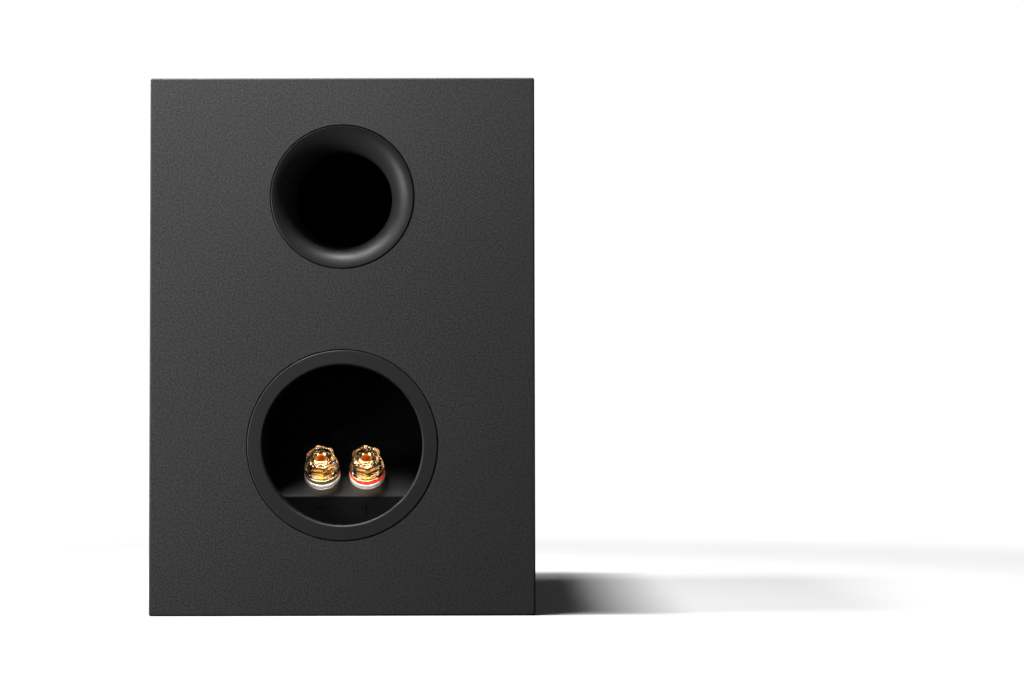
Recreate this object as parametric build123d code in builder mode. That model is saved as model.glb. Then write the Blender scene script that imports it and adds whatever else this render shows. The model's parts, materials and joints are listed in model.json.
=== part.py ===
from build123d import *
from math import cos, radians, sin, sqrt, tan
import os

# A two-way bookshelf speaker: a wooden cabinet with a woofer, a tweeter and a cloth grille
# on its front, and a bass port and a cup of binding posts on its back.
# Millimetres. X runs across the cabinet, Y from the grille to the back, Z up from the shelf.

# ---- Cabinet ----
WIDTH = 161.0
HEIGHT = 225.0
DEPTH = 240.0  # over the grille
GRILLE_DEPTH = 12.0
WALL = 12.0  # sides, top, bottom and back
BAFFLE = 15.0
CORNER_R = 1.0  # corners of the outline
EDGE_R = 0.8  # rounding of the front and back faces' edges

Y_GRILLE = -DEPTH / 2
Y_FACE = Y_GRILLE + GRILLE_DEPTH  # the baffle's front face
Y_BAFFLE_BACK = Y_FACE + BAFFLE
Y_REAR = DEPTH / 2
Y_PANEL_FRONT = Y_REAR - WALL  # the rear panel's inner face
INNER_X = WIDTH / 2 - WALL
INNER_TOP = HEIGHT - WALL
MITRE = 30.0  # how far each mitre cut reaches inwards, past the wall's thickness

# ---- Bass port ----
PORT_Z = 175.0
FLARE_R = 30.0
FLARE_DEPTH = 15.0  # from the flush rim to the throat
THROAT_R = 20.2
FLANGE = 4.0
RIM_R = 0.4  # rounding of the flush flanges' outer edges
SPIGOT_R = 24.5
SPIGOT_LENGTH = 28.0
TUBE_WALL = 2.0
TUBE_SEAT = 17.0  # how deep behind the rim the tube's end sits
TUBE_LENGTH = 131.0
SLIP = 0.1  # slip fit of glued round parts, on the radius
REBATE_GAP = 0.4  # dark line round the flush flanges

# ---- Terminal cup ----
CUP_Z = 71.0
CUP_FLANGE_R = 39.75
CUP_FLANGE = 2.5
GASKET = 0.7
CUP_R = 33.4  # inside of the recess
CUP_WALL = 1.8
CUP_LIP_R = 0.9
LEDGE_TILT = 44.0  # degrees of the ledge's normal above the level
LEDGE_HALF = 8.76  # half of the ledge's sloping width
LEDGE_Y = Y_REAR - 16.9  # the middle of the ledge
LEDGE_Z = 55.7
SHELF = 1.6  # level step from the ledge's top edge back to the floor
LEDGE_WALL = 2.2
CREASE_R = 1.2  # where the ledge turns into the lower face
LABEL_T = 0.3
MARK_Z = 44.3  # polarity marks, engraved
MARK_W = 4.3
MARK_STROKE = 0.55
MARK_DEPTH = 0.4

# ---- Binding posts: t is the distance from the ledge along the post ----
POST_X = {"negative": 9.5, "positive": -9.5}
NUT_TURN = {"negative": 45.0, "positive": 37.0}  # how far each nut happens to be turned
POST_UP = 2.64  # how far above the ledge's middle the posts stand
COLLAR_R = 7.6
COLLAR_T = 2.6
RING_R = 7.4
RING_T = 4.1
PLAY = 0.05  # running play between the faces that turn on each other
WASHER_R = 7.3
WASHER_T = 4.9
NUT_FLANGE_R = 7.3
NUT_FLANGE_T = 6.6
NUT_ROOT_R = 7.0  # hexagon corners, at the flange and at the outer end
NUT_TIP_R = 6.3
NUT_TIP_T = 12.9
NUT_MOUTH_R = 4.7
INSERT_R = 4.95  # hexagon corners of the threaded insert
INSERT_BACK_T = 5.7
INSERT_TIP_T = 10.9
STUD_R = 3.65
STUD_TIP_T = 12.2
THREAD_PLAY = 0.05
SHANK_R = 3.0
SHANK_T = -12.0
BANANA_R = 2.0  # socket for a standard 4 mm plug
BANANA_DEPTH = 15.0
WIRE_HOLE_R = 1.5
WIRE_HOLE_T = 6.8
POST_BREAK = 0.4  # chamfers on the turned parts
NUT_BREAK = 0.6  # chamfer round the nut's outer end
TAG_T = 0.6
TAG_R = 5.0
TAG_TAIL = 11.0
TAG_TAIL_W = 4.0
LOCK_NUT_R = 5.0
LOCK_NUT_T = 3.0

# ---- Woofer: u is the depth behind the baffle's face ----
WOOFER_Z = 77.0
W_FRAME_R = 67.0
W_RING_T = 3.0
W_SCREW_R = 64.1
W_HOLE_R = 58.0
W_LIP_SEAT_R = 61.2  # recess that the surround's lip is glued into
W_LIP_SEAT_U = 1.2
W_CUT_R = 54.5
W_ROLL_OUT_R = 55.0  # the half roll of the surround
W_ROLL_IN_R = 46.5
W_LIP_T = 0.9
W_RUBBER = 0.8
W_CONE_R = 46.4
W_RIM_R = 43.6
W_PAPER = 0.6
W_NECK_R = 13.3
W_NECK_U = 21.5
W_CAP_R = 16.5
W_CAP_U = 16.4  # the dust cap's edge, glued to the cone
W_CAP_RISE = 6.0
W_LEDGE_U = 26.0  # shelf that the spider is glued to
W_LEDGE_R = 41.0
W_PLATE_U = 37.5
W_TOP_PLATE = 6.0
W_MAGNET = 14.0
W_BACK_PLATE = 5.0
W_PLATE_R = 38.0
W_MAGNET_R = 40.0
W_GAP_R = 13.9
W_POLE_R = 12.1
W_FORMER_R = 12.6
W_COIL_R = 13.45

# ---- Tweeter: u as for the woofer ----
TWEETER_Z = 182.0
T_FRAME_R = 36.0
T_FRAME_T = 4.0
T_SCREW_R = 31.5
T_HOLE_R = 28.8
T_MOUTH_R = 27.0  # the faceplate's shallow horn
T_LIP_R = 19.0
T_ROLL_OUT_R = 17.0
T_DOME_R = 12.8
T_LIP_IN_R = 13.0
T_DOME_U = 1.6
T_DOME_RISE = 4.4
T_SILK = 0.4
T_PLATE_R = 28.0
T_TOP_PLATE = 3.0
T_MAGNET = 8.0
T_BACK_PLATE = 4.0
T_GAP_R = 13.4
T_POLE_R = 12.0
T_COIL_IN_R = 12.4

# ---- Crossover, on the bottom panel ----
BOARD_X = 90.0
BOARD_Y = 70.0
BOARD_MID_Y = 45.0
BOARD_T = 1.6
STANDOFF_H = 6.0
STANDOFF_R = 3.0
BOARD_TOP = WALL + STANDOFF_H + BOARD_T
LEAD_R = 1.1

# ---- Wadding ----
WADDING = 11.0
WADDING_FRONT = -50.0
WADDING_BACK = 92.0

# ---- Grille ----
CLOTH = 0.8
G_FRAME_INSET = 0.4
G_GAP = 0.5  # between the frame and the baffle
G_OPEN_X = 63.0
G_OPEN_LOW = 12.0
G_OPEN_HIGH = 214.0
G_BAR_Z = 144.5
G_BAR_W = 7.0
G_BAR_T = 5.0
G_BAR_ROOT = 1.0  # how far the bar runs into the frame at each end
G_OPEN_CORNER_R = 8.0
PEG_X = 70.0
PEG_LOW = 12.5
PEG_HIGH = 212.5
PEG_R = 3.0
PEG_LENGTH = 9.5
PEG_BREAK = 0.6
PEG_PLAY = 0.06
SOCKET_R = 5.0
SOCKET_FLANGE_R = 6.5
SOCKET_FLANGE = 1.0
SOCKET_LENGTH = 12.0
SOCKET_END = 1.5  # closed end


def facing(y, z=0.0):
    """A sketch plane across the cabinet at depth y; a positive extrude goes forwards."""
    return Plane(origin=(0, y, z), x_dir=(1, 0, 0), z_dir=(0, -1, 0))


def halving(z):
    """A level plane through a front-to-back axis at height z; its x is the radius."""
    return Plane(origin=(0, 0, z), x_dir=(1, 0, 0), z_dir=(0, 0, 1))


def axis_at(z):
    """The front-to-back axis at height z."""
    return Axis((0, 0, z), (0, 1, 0))


def turned(z, y, outline):
    """A turned part on the axis at height z, from (radius, depth behind y) corners."""
    with BuildPart() as piece:
        with BuildSketch(halving(z)):
            with BuildLine():
                Polyline(*[(radius, y + depth) for radius, depth in outline], close=True)
            make_face()
        revolve(axis=axis_at(z))
    return piece


def ring_outline(r_in, r_out, near, far):
    """The corners of a plain ring's section."""
    return [(r_in, near), (r_out, near), (r_out, far), (r_in, far)]


def sink(y, places, radius, depth):
    """Cut round holes in the part being built, from y backwards, or forwards by a negative depth."""
    with BuildSketch(facing(y)) as holes:
        with Locations(*places):
            Circle(radius)
    extrude(holes.sketch, amount=-depth, mode=Mode.SUBTRACT)


os.makedirs("parts", exist_ok=True)


def save(piece, label):
    """Label a finished piece and write its STEP file."""
    piece.part.label = label
    export_step(piece.part, f"parts/{label}.step")
    print(label, round(piece.part.volume, 1))


# ======== Cabinet ========

SLEEVE_LENGTH = Y_PANEL_FRONT - Y_BAFFLE_BACK
LEFT = -WIDTH / 2
RIGHT = WIDTH / 2


def sleeve_panel(outline):
    """One wall of the sleeve: the ring between the outer and inner box, kept inside the mitres."""
    with BuildPart() as panel:
        with BuildSketch(facing(Y_PANEL_FRONT)):
            with Locations((0, HEIGHT / 2)):
                RectangleRounded(WIDTH, HEIGHT, CORNER_R)
                Rectangle(WIDTH - 2 * WALL, HEIGHT - 2 * WALL, mode=Mode.SUBTRACT)
            with BuildLine():
                Polyline(*outline, close=True)
            make_face(mode=Mode.INTERSECT)
        extrude(amount=SLEEVE_LENGTH)
    return panel


left_side_panel = sleeve_panel([
    (LEFT, 0), (LEFT + MITRE, MITRE), (LEFT + MITRE, HEIGHT - MITRE), (LEFT, HEIGHT),
])
right_side_panel = sleeve_panel([
    (RIGHT, 0), (RIGHT, HEIGHT), (RIGHT - MITRE, HEIGHT - MITRE), (RIGHT - MITRE, MITRE),
])
bottom_panel = sleeve_panel([
    (LEFT, 0), (RIGHT, 0), (RIGHT - MITRE, MITRE), (LEFT + MITRE, MITRE),
])
top_panel = sleeve_panel([
    (LEFT, HEIGHT), (LEFT + MITRE, HEIGHT - MITRE), (RIGHT - MITRE, HEIGHT - MITRE), (RIGHT, HEIGHT),
])
save(left_side_panel, "left_side_panel")
save(right_side_panel, "right_side_panel")
save(bottom_panel, "bottom_panel")
save(top_panel, "top_panel")

PEG_PLACES = [(x, z) for x in (-PEG_X, PEG_X) for z in (PEG_LOW, PEG_HIGH)]
SCREW_HEAD_R = 2.7
SCREW_HEAD = 1.5
SCREW_R = 1.6
SCREW_LENGTH = 13.0
HEX_KEY_R = 1.35  # corners of the heads' sockets
HEX_KEY_DEPTH = 1.05
WOOFER_SCREWS = PolarLocations(W_SCREW_R, 4, 45)
TWEETER_SCREWS = PolarLocations(T_SCREW_R, 3, 90)


def screw_places(locations, z):
    """The points of a ring of screws about the axis at height z."""
    return [(spot.position.X, spot.position.Y + z) for spot in locations]


with BuildPart() as front_baffle:
    with BuildSketch(facing(Y_BAFFLE_BACK)):
        with Locations((0, HEIGHT / 2)):
            RectangleRounded(WIDTH, HEIGHT, CORNER_R)
    extrude(amount=BAFFLE)
    front_face = front_baffle.faces().sort_by(Axis.Y)[0]
    fillet(front_face.outer_wire().edges(), EDGE_R)
    sink(Y_FACE, [(0, WOOFER_Z)], W_FRAME_R + REBATE_GAP, W_RING_T)
    sink(Y_FACE, [(0, WOOFER_Z)], W_HOLE_R, BAFFLE)
    sink(Y_FACE, [(0, TWEETER_Z)], T_FRAME_R + REBATE_GAP, T_FRAME_T)
    sink(Y_FACE, [(0, TWEETER_Z)], T_HOLE_R, BAFFLE)
    sink(Y_FACE, PEG_PLACES, SOCKET_FLANGE_R, SOCKET_FLANGE)
    sink(Y_FACE, PEG_PLACES, SOCKET_R, SOCKET_LENGTH)
    sink(Y_FACE, screw_places(WOOFER_SCREWS, WOOFER_Z), SCREW_R, SCREW_LENGTH)
    sink(Y_FACE, screw_places(TWEETER_SCREWS, TWEETER_Z), SCREW_R, SCREW_LENGTH)
save(front_baffle, "front_baffle")

with BuildPart() as rear_panel:
    with BuildSketch(facing(Y_REAR)):
        with Locations((0, HEIGHT / 2)):
            RectangleRounded(WIDTH, HEIGHT, CORNER_R)
    extrude(amount=WALL)
    rear_face = rear_panel.faces().sort_by(Axis.Y)[-1]
    fillet(rear_face.outer_wire().edges(), EDGE_R)
    sink(Y_REAR, [(0, PORT_Z)], FLARE_R + REBATE_GAP, -FLANGE)
    sink(Y_REAR, [(0, PORT_Z)], SPIGOT_R + SLIP, -WALL)
    sink(Y_REAR, [(0, CUP_Z)], CUP_FLANGE_R + REBATE_GAP, -CUP_FLANGE - GASKET)
    sink(Y_REAR, [(0, CUP_Z)], CUP_R + CUP_WALL + SLIP, -WALL)
save(rear_panel, "rear_panel")

INNER_WADDING_X = INNER_X - WADDING
with BuildPart() as damping_wadding:
    with BuildSketch(facing(WADDING_BACK)):
        with Locations((0, (WALL + STANDOFF_H + INNER_TOP) / 2)):
            Rectangle(2 * INNER_X, INNER_TOP - WALL - STANDOFF_H)
        with Locations((0, (WALL + INNER_TOP - WADDING) / 2)):
            Rectangle(2 * INNER_WADDING_X, INNER_TOP - WADDING - WALL, mode=Mode.SUBTRACT)
    extrude(amount=WADDING_BACK - WADDING_FRONT)
    fillet(damping_wadding.edges().filter_by(Axis.Y).group_by(Axis.Z)[-2], WADDING / 2)
save(damping_wadding, "damping_wadding")

# ======== Bass port ========

with BuildPart() as port_flare:
    with BuildSketch(halving(PORT_Z)):
        with BuildLine():
            EllipticalCenterArc(
                (FLARE_R, Y_REAR - FLARE_DEPTH), FLARE_R - THROAT_R, FLARE_DEPTH,
                start_angle=90, arc_size=90,
            )
            Polyline(
                (FLARE_R, Y_REAR),
                (FLARE_R, Y_REAR - FLANGE),
                (SPIGOT_R, Y_REAR - FLANGE),
                (SPIGOT_R, Y_REAR - SPIGOT_LENGTH),
                (THROAT_R + TUBE_WALL + SLIP, Y_REAR - SPIGOT_LENGTH),
                (THROAT_R + TUBE_WALL + SLIP, Y_REAR - TUBE_SEAT),
                (THROAT_R, Y_REAR - TUBE_SEAT),
                (THROAT_R, Y_REAR - FLARE_DEPTH),
            )
        make_face()
    revolve(axis=axis_at(PORT_Z))
    fillet(port_flare.edges().filter_by(GeomType.CIRCLE).group_by(Axis.Y)[-1], RIM_R)
save(port_flare, "port_flare")

port_tube = turned(
    PORT_Z, Y_REAR - TUBE_SEAT - TUBE_LENGTH,
    ring_outline(THROAT_R, THROAT_R + TUBE_WALL, 0, TUBE_LENGTH),
)
save(port_tube, "port_tube")

# ======== Terminal cup ========

TILT = radians(LEDGE_TILT)
TOP_EDGE_Y = LEDGE_Y - LEDGE_HALF * sin(TILT)
FLOOR_Y = TOP_EDGE_Y - SHELF
FLOOR_Z = LEDGE_Z + LEDGE_HALF * cos(TILT)
CREASE_Y = LEDGE_Y + LEDGE_HALF * sin(TILT)
CREASE_Z = LEDGE_Z - LEDGE_HALF * cos(TILT)
POST_Y = LEDGE_Y - POST_UP * sin(TILT)
POST_Z = LEDGE_Z + POST_UP * cos(TILT)
CUP_REACH = 60.0  # larger than the cup, for cutting tools


def recess_section(grow):
    """The recess seen from the side, grown by a wall: floor, shelf, ledge and lower face."""
    with BuildSketch(Plane.YZ) as section:
        with BuildLine():
            Polyline(
                (CREASE_Y, CUP_Z - CUP_REACH),
                (CREASE_Y, CREASE_Z),
                (TOP_EDGE_Y, FLOOR_Z),
                (FLOOR_Y, FLOOR_Z),
                (FLOOR_Y, CUP_Z + CUP_REACH),
                (Y_REAR + CUP_REACH, CUP_Z + CUP_REACH),
                (Y_REAR + CUP_REACH, CUP_Z - CUP_REACH),
                close=True,
            )
        make_face()
        if grow:
            offset(amount=grow, kind=Kind.INTERSECTION)
    return section.sketch


with BuildPart() as cup_recess:
    with BuildSketch(facing(Y_REAR, CUP_Z)):
        Circle(CUP_R)
    extrude(amount=CUP_REACH)
    extrude(recess_section(0), amount=CUP_REACH, both=True, mode=Mode.INTERSECT)
    crease = cup_recess.edges().filter_by(Axis.X).sort_by(Axis.Y)[-1]
    fillet(crease, CREASE_R)

with BuildPart() as terminal_cup:
    with BuildSketch(facing(Y_REAR, CUP_Z)):
        Circle(CUP_R + CUP_WALL)
    extrude(amount=CUP_REACH)
    extrude(recess_section(LEDGE_WALL), amount=CUP_REACH, both=True, mode=Mode.INTERSECT)
    with BuildSketch(facing(Y_REAR, CUP_Z)):
        Circle(CUP_FLANGE_R)
    extrude(amount=CUP_FLANGE)
    add(cup_recess.part, mode=Mode.SUBTRACT)
    mouth = terminal_cup.edges().filter_by(GeomType.CIRCLE).group_by(Axis.Y)[-1]
    fillet(mouth.sort_by(SortBy.RADIUS)[0], CUP_LIP_R)
    rim = terminal_cup.edges().filter_by(GeomType.CIRCLE).group_by(Axis.Y)[-1]
    fillet(rim.sort_by(SortBy.RADIUS)[-1], RIM_R)
    with BuildSketch(facing(CREASE_Y, MARK_Z)) as marks:
        with Locations((POST_X["negative"], 0), (POST_X["positive"], 0)):
            Rectangle(MARK_W, MARK_STROKE)
        with Locations((POST_X["positive"], 0)):
            Rectangle(MARK_STROKE, MARK_W)
    extrude(marks.sketch, amount=MARK_DEPTH, mode=Mode.SUBTRACT)
    ledge = Plane(origin=(0, POST_Y, POST_Z), x_dir=(1, 0, 0), z_dir=(0, cos(TILT), sin(TILT)))
    with BuildSketch(ledge) as post_holes:
        with Locations(*[(x, 0) for x in POST_X.values()]):
            Circle(SHANK_R + SLIP)
    extrude(post_holes.sketch, amount=LEDGE_WALL * 2, both=True, mode=Mode.SUBTRACT)
save(terminal_cup, "terminal_cup")

GASKET_INSET = 0.3
terminal_cup_gasket = turned(
    CUP_Z, Y_REAR - CUP_FLANGE - GASKET,
    ring_outline(CUP_R + CUP_WALL + SLIP, CUP_FLANGE_R - GASKET_INSET, 0, GASKET),
)
save(terminal_cup_gasket, "terminal_cup_gasket")

LABEL_INSET = 0.3
with BuildPart() as terminal_label:
    with BuildSketch(facing(FLOOR_Y + LABEL_T, CUP_Z)):
        Circle(CUP_R - LABEL_INSET)
        with Locations((0, FLOOR_Z + LABEL_INSET - CUP_Z)):
            Rectangle(
                CUP_REACH * 2, CUP_REACH, align=(Align.CENTER, Align.MAX), mode=Mode.SUBTRACT,
            )
    extrude(amount=LABEL_T)
save(terminal_label, "terminal_label")

# ======== Binding posts ========


def post_plane(x, t=0.0):
    """The plane across a post, at t from the ledge; a positive extrude goes outwards."""
    origin = (x, POST_Y + t * cos(TILT), POST_Z + t * sin(TILT))
    return Plane(origin=origin, x_dir=(1, 0, 0), z_dir=(0, cos(TILT), sin(TILT)))


def post_turned(x, outline):
    """A turned part on the post at x, from (radius, t) corners."""
    along = Plane(
        origin=(x, POST_Y, POST_Z), x_dir=(1, 0, 0), z_dir=(0, -sin(TILT), cos(TILT)),
    )
    with BuildPart() as piece:
        with BuildSketch(along):
            with BuildLine():
                Polyline(*outline, close=True)
            make_face()
        revolve(axis=Axis((x, POST_Y, POST_Z), (0, cos(TILT), sin(TILT))))
    return piece


def nut_shell(x, turn):
    """The clear plastic nut: a round flange, a tapering hexagon and an open mouth."""
    with BuildPart() as shell:
        with BuildSketch(post_plane(x, WASHER_T + PLAY)):
            Circle(NUT_FLANGE_R)
        extrude(amount=NUT_FLANGE_T - WASHER_T - PLAY)
        with BuildSketch(post_plane(x, NUT_FLANGE_T)) as root:
            RegularPolygon(NUT_ROOT_R, 6, rotation=turn)
        with BuildSketch(post_plane(x, NUT_TIP_T)) as tip:
            RegularPolygon(NUT_TIP_R, 6, rotation=turn)
        loft([root.sketch.face(), tip.sketch.face()])
        # the corners of the outer end are turned away
        with BuildSketch(post_plane(x, WASHER_T)) as barrel:
            Circle(NUT_FLANGE_R)
        extrude(barrel.sketch, amount=NUT_TIP_T - WASHER_T, mode=Mode.INTERSECT)
        end_face = shell.faces().sort_by(Axis((x, POST_Y, POST_Z), (0, cos(TILT), sin(TILT))))[-1]
        chamfer(end_face.outer_wire().edges(), NUT_BREAK)
        with BuildSketch(post_plane(x, INSERT_BACK_T)) as pocket:
            RegularPolygon(INSERT_R, 6, rotation=turn)
        extrude(pocket.sketch, amount=INSERT_TIP_T - INSERT_BACK_T, mode=Mode.SUBTRACT)
        with BuildSketch(post_plane(x, WASHER_T)) as through:
            Circle(STUD_R + 2 * THREAD_PLAY)
        extrude(through.sketch, amount=INSERT_TIP_T - WASHER_T, mode=Mode.SUBTRACT)
        with BuildSketch(post_plane(x, INSERT_TIP_T)) as open_mouth:
            Circle(NUT_MOUTH_R)
        extrude(open_mouth.sketch, amount=NUT_TIP_T - INSERT_TIP_T, mode=Mode.SUBTRACT)
    return shell


def nut_insert(x, turn):
    """The gold-plated threaded core of the nut; the thread is a plain bore."""
    with BuildPart() as core:
        with BuildSketch(post_plane(x, INSERT_BACK_T)):
            RegularPolygon(INSERT_R, 6, rotation=turn)
            Circle(STUD_R + THREAD_PLAY, mode=Mode.SUBTRACT)
        extrude(amount=INSERT_TIP_T - INSERT_BACK_T)
    return core


def post_stud(x):
    """The fixed stud: threaded barrel with the plug socket, wire hole, and shank behind the ledge."""
    with BuildPart() as stud:
        add(post_turned(x, [
            (0, SHANK_T), (SHANK_R - POST_BREAK, SHANK_T), (SHANK_R, SHANK_T + POST_BREAK),
            (SHANK_R, 0), (STUD_R, 0), (STUD_R, STUD_TIP_T - POST_BREAK),
            (STUD_R - POST_BREAK, STUD_TIP_T), (0, STUD_TIP_T),
        ]).part)
        with BuildSketch(post_plane(x, STUD_TIP_T)) as socket:
            Circle(BANANA_R)
        extrude(socket.sketch, amount=-BANANA_DEPTH, mode=Mode.SUBTRACT)
        hole_at = post_plane(x, WIRE_HOLE_T).origin
        with BuildSketch(Plane(origin=hole_at, x_dir=(0, 1, 0), z_dir=(1, 0, 0))) as wire_hole:
            Circle(WIRE_HOLE_R)
        extrude(wire_hole.sketch, amount=STUD_R * 2, both=True, mode=Mode.SUBTRACT)
    return stud


for side, x in POST_X.items():
    base_collar = post_turned(x, [
        (STUD_R, 0), (COLLAR_R - POST_BREAK, 0), (COLLAR_R, POST_BREAK),
        (COLLAR_R, COLLAR_T - POST_BREAK), (COLLAR_R - POST_BREAK, COLLAR_T), (STUD_R, COLLAR_T),
    ])
    colour_ring = post_turned(x, ring_outline(STUD_R, RING_R, COLLAR_T, RING_T))
    clamp_washer = post_turned(
        x, ring_outline(STUD_R + SLIP, WASHER_R, RING_T + PLAY, WASHER_T),
    )
    save(post_stud(x), f"{side}_post_stud")
    save(base_collar, f"{side}_base_collar")
    save(colour_ring, f"{side}_colour_ring")
    save(clamp_washer, f"{side}_clamp_washer")
    save(nut_shell(x, NUT_TURN[side]), f"{side}_nut_shell")
    save(nut_insert(x, NUT_TURN[side]), f"{side}_nut_insert")

TAG_FACE_T = -LEDGE_WALL
with BuildPart() as solder_tags:
    for x in POST_X.values():
        outwards = 1 if x > 0 else -1
        with BuildSketch(post_plane(x, TAG_FACE_T)) as tag:
            Circle(TAG_R)
            with Locations((outwards * TAG_TAIL / 2, 0)):
                SlotOverall(TAG_TAIL, TAG_TAIL_W)
            Circle(SHANK_R + SLIP, mode=Mode.SUBTRACT)
        extrude(tag.sketch, amount=-TAG_T)
save(solder_tags, "solder_tags")

with BuildPart() as post_lock_nuts:
    for x in POST_X.values():
        with BuildSketch(post_plane(x, TAG_FACE_T - TAG_T)) as lock_nut:
            RegularPolygon(LOCK_NUT_R, 6)
            Circle(SHANK_R + SLIP, mode=Mode.SUBTRACT)
        extrude(lock_nut.sketch, amount=-LOCK_NUT_T)
save(post_lock_nuts, "post_lock_nuts")

# ======== Woofer ========

W_BASKET_T = 1.5
W_WALL_R = 57.4  # the basket's wall just behind its ring
W_WALL_U = 8.0
W_SHOULDER_R = 47.5
W_FLOOR_R = 24.0
W_FLOOR_U = W_PLATE_U - W_BASKET_T
basket_outline = [
    (W_LIP_SEAT_R, 0), (W_FRAME_R, 0), (W_FRAME_R, W_RING_T), (W_WALL_R, W_RING_T),
    (W_WALL_R, W_WALL_U), (W_SHOULDER_R + W_BASKET_T, W_LEDGE_U + W_BASKET_T),
    (W_LEDGE_R + W_BASKET_T, W_LEDGE_U + W_BASKET_T), (W_LEDGE_R + W_BASKET_T, W_PLATE_U),
    (W_FLOOR_R, W_PLATE_U), (W_FLOOR_R, W_FLOOR_U), (W_LEDGE_R, W_FLOOR_U),
    (W_LEDGE_R, W_LEDGE_U), (W_SHOULDER_R, W_LEDGE_U), (W_WALL_R - W_BASKET_T, W_WALL_U),
    (W_WALL_R - W_BASKET_T, W_RING_T + W_BASKET_T), (W_CUT_R, W_RING_T), (W_CUT_R, W_LIP_SEAT_U),
    (W_LIP_SEAT_R, W_LIP_SEAT_U),
]
WINDOW_U = 16.5
WINDOW_LENGTH = 12.0
WINDOW_WIDTH = 30.0
with BuildPart() as woofer_basket:
    add(turned(WOOFER_Z, Y_FACE, basket_outline).part)
    with Locations(facing(Y_FACE + WINDOW_U, WOOFER_Z)):
        with PolarLocations(W_SHOULDER_R + W_BASKET_T, 6, 30):
            Box(WINDOW_WIDTH, WINDOW_WIDTH, WINDOW_LENGTH, mode=Mode.SUBTRACT)
    sink(Y_FACE, screw_places(WOOFER_SCREWS, WOOFER_Z), SCREW_R + SLIP, W_RING_T)
    sink(Y_FACE, screw_places(WOOFER_SCREWS, WOOFER_Z), SCREW_HEAD_R + SLIP, SCREW_HEAD)
save(woofer_basket, "woofer_basket")


def screw_ring(z, locations):
    """A ring of socket-head screws whose heads are flush with the baffle."""
    places = screw_places(locations, z)
    with BuildPart() as screws:
        with BuildSketch(facing(Y_FACE)) as heads:
            with Locations(*places):
                Circle(SCREW_HEAD_R)
        extrude(heads.sketch, amount=-SCREW_HEAD)
        with BuildSketch(facing(Y_FACE)) as shanks:
            with Locations(*places):
                Circle(SCREW_R)
        extrude(shanks.sketch, amount=-SCREW_LENGTH)
        with BuildSketch(facing(Y_FACE)) as sockets:
            with Locations(*places):
                RegularPolygon(HEX_KEY_R, 6)
        extrude(sockets.sketch, amount=-HEX_KEY_DEPTH, mode=Mode.SUBTRACT)
    return screws


woofer_screws = screw_ring(WOOFER_Z, WOOFER_SCREWS)
save(woofer_screws, "woofer_screws")


def half_roll(z, u, r_out, r_in, lip_out, lip_in, skin, lip):
    """A half-roll surround: two flat lips joined by a semicircular arch that stands forwards."""
    mid = (r_out + r_in) / 2
    arch = (r_out - r_in) / 2
    y = Y_FACE + u
    with BuildPart() as surround:
        with BuildSketch(halving(z)):
            with BuildLine():
                Line((lip_out, y), (lip_out, y - lip))
                Line((lip_out, y - lip), (r_out, y - lip))
                ThreePointArc((r_out, y - lip), (mid, y - lip - arch), (r_in, y - lip))
                Line((r_in, y - lip), (lip_in, y - lip))
                Line((lip_in, y - lip), (lip_in, y))
                Line((lip_in, y), (r_in + skin, y))
                ThreePointArc((r_in + skin, y), (mid, y - arch + skin), (r_out - skin, y))
                Line((r_out - skin, y), (lip_out, y))
            make_face()
        revolve(axis=axis_at(z))
    return surround


woofer_surround = half_roll(
    WOOFER_Z, W_LIP_SEAT_U - PLAY, W_ROLL_OUT_R, W_ROLL_IN_R,
    W_LIP_SEAT_R - SLIP, W_RIM_R, W_RUBBER, W_LIP_T,
)
save(woofer_surround, "woofer_surround")

RIM_U = W_LIP_SEAT_U + PLAY
RIM_Y = Y_FACE + RIM_U
NECK_Y = Y_FACE + W_NECK_U
CONE_BOW = 3.0  # how far the paper's curve bows forwards of a straight cone
BOW_PAPER = 0.72  # the paper's front-to-back thickness at the middle of the bow
cone_mid = ((W_RIM_R + W_NECK_R) / 2, (RIM_Y + NECK_Y) / 2 - CONE_BOW)
with BuildPart() as woofer_cone:
    with BuildSketch(halving(WOOFER_Z)):
        with BuildLine():
            Line((W_CONE_R, RIM_Y + W_PAPER), (W_CONE_R, RIM_Y))
            Line((W_CONE_R, RIM_Y), (W_RIM_R, RIM_Y))
            ThreePointArc((W_RIM_R, RIM_Y), cone_mid, (W_NECK_R, NECK_Y))
            Line((W_NECK_R, NECK_Y), (W_NECK_R, NECK_Y + W_PAPER))
            ThreePointArc(
                (W_NECK_R, NECK_Y + W_PAPER), (cone_mid[0], cone_mid[1] + BOW_PAPER),
                (W_RIM_R, RIM_Y + W_PAPER),
            )
            Line((W_RIM_R, RIM_Y + W_PAPER), (W_CONE_R, RIM_Y + W_PAPER))
        make_face()
    revolve(axis=axis_at(WOOFER_Z))
save(woofer_cone, "woofer_cone")


def dome(z, y, radius, rise, skin):
    """A spherical cap of even thickness that bulges forwards, its edge at depth y."""
    with BuildPart() as cap:
        with BuildSketch(halving(z)):
            with BuildLine():
                outer = sagitta_arc((0, y - rise), (radius, y))
                inner = sagitta_arc((0, y - rise + skin), (radius - skin, y))
                Line(outer @ 1, inner @ 1)
                Line(outer @ 0, inner @ 0)
            make_face()
        revolve(axis=axis_at(z))
    return cap


def sagitta_arc(top, edge):
    """The arc of a circle centred on the axis, from its top point to its edge."""
    rise = edge[1] - top[1]
    ball = (edge[0] ** 2 + rise ** 2) / (2 * rise)
    half_x = edge[0] / 2
    half_y = top[1] + ball - sqrt(ball ** 2 - half_x ** 2)
    return ThreePointArc(top, (half_x, half_y), edge)


woofer_dust_cap = dome(WOOFER_Z, Y_FACE + W_CAP_U, W_CAP_R, W_CAP_RISE, W_PAPER)
save(woofer_dust_cap, "woofer_dust_cap")

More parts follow.
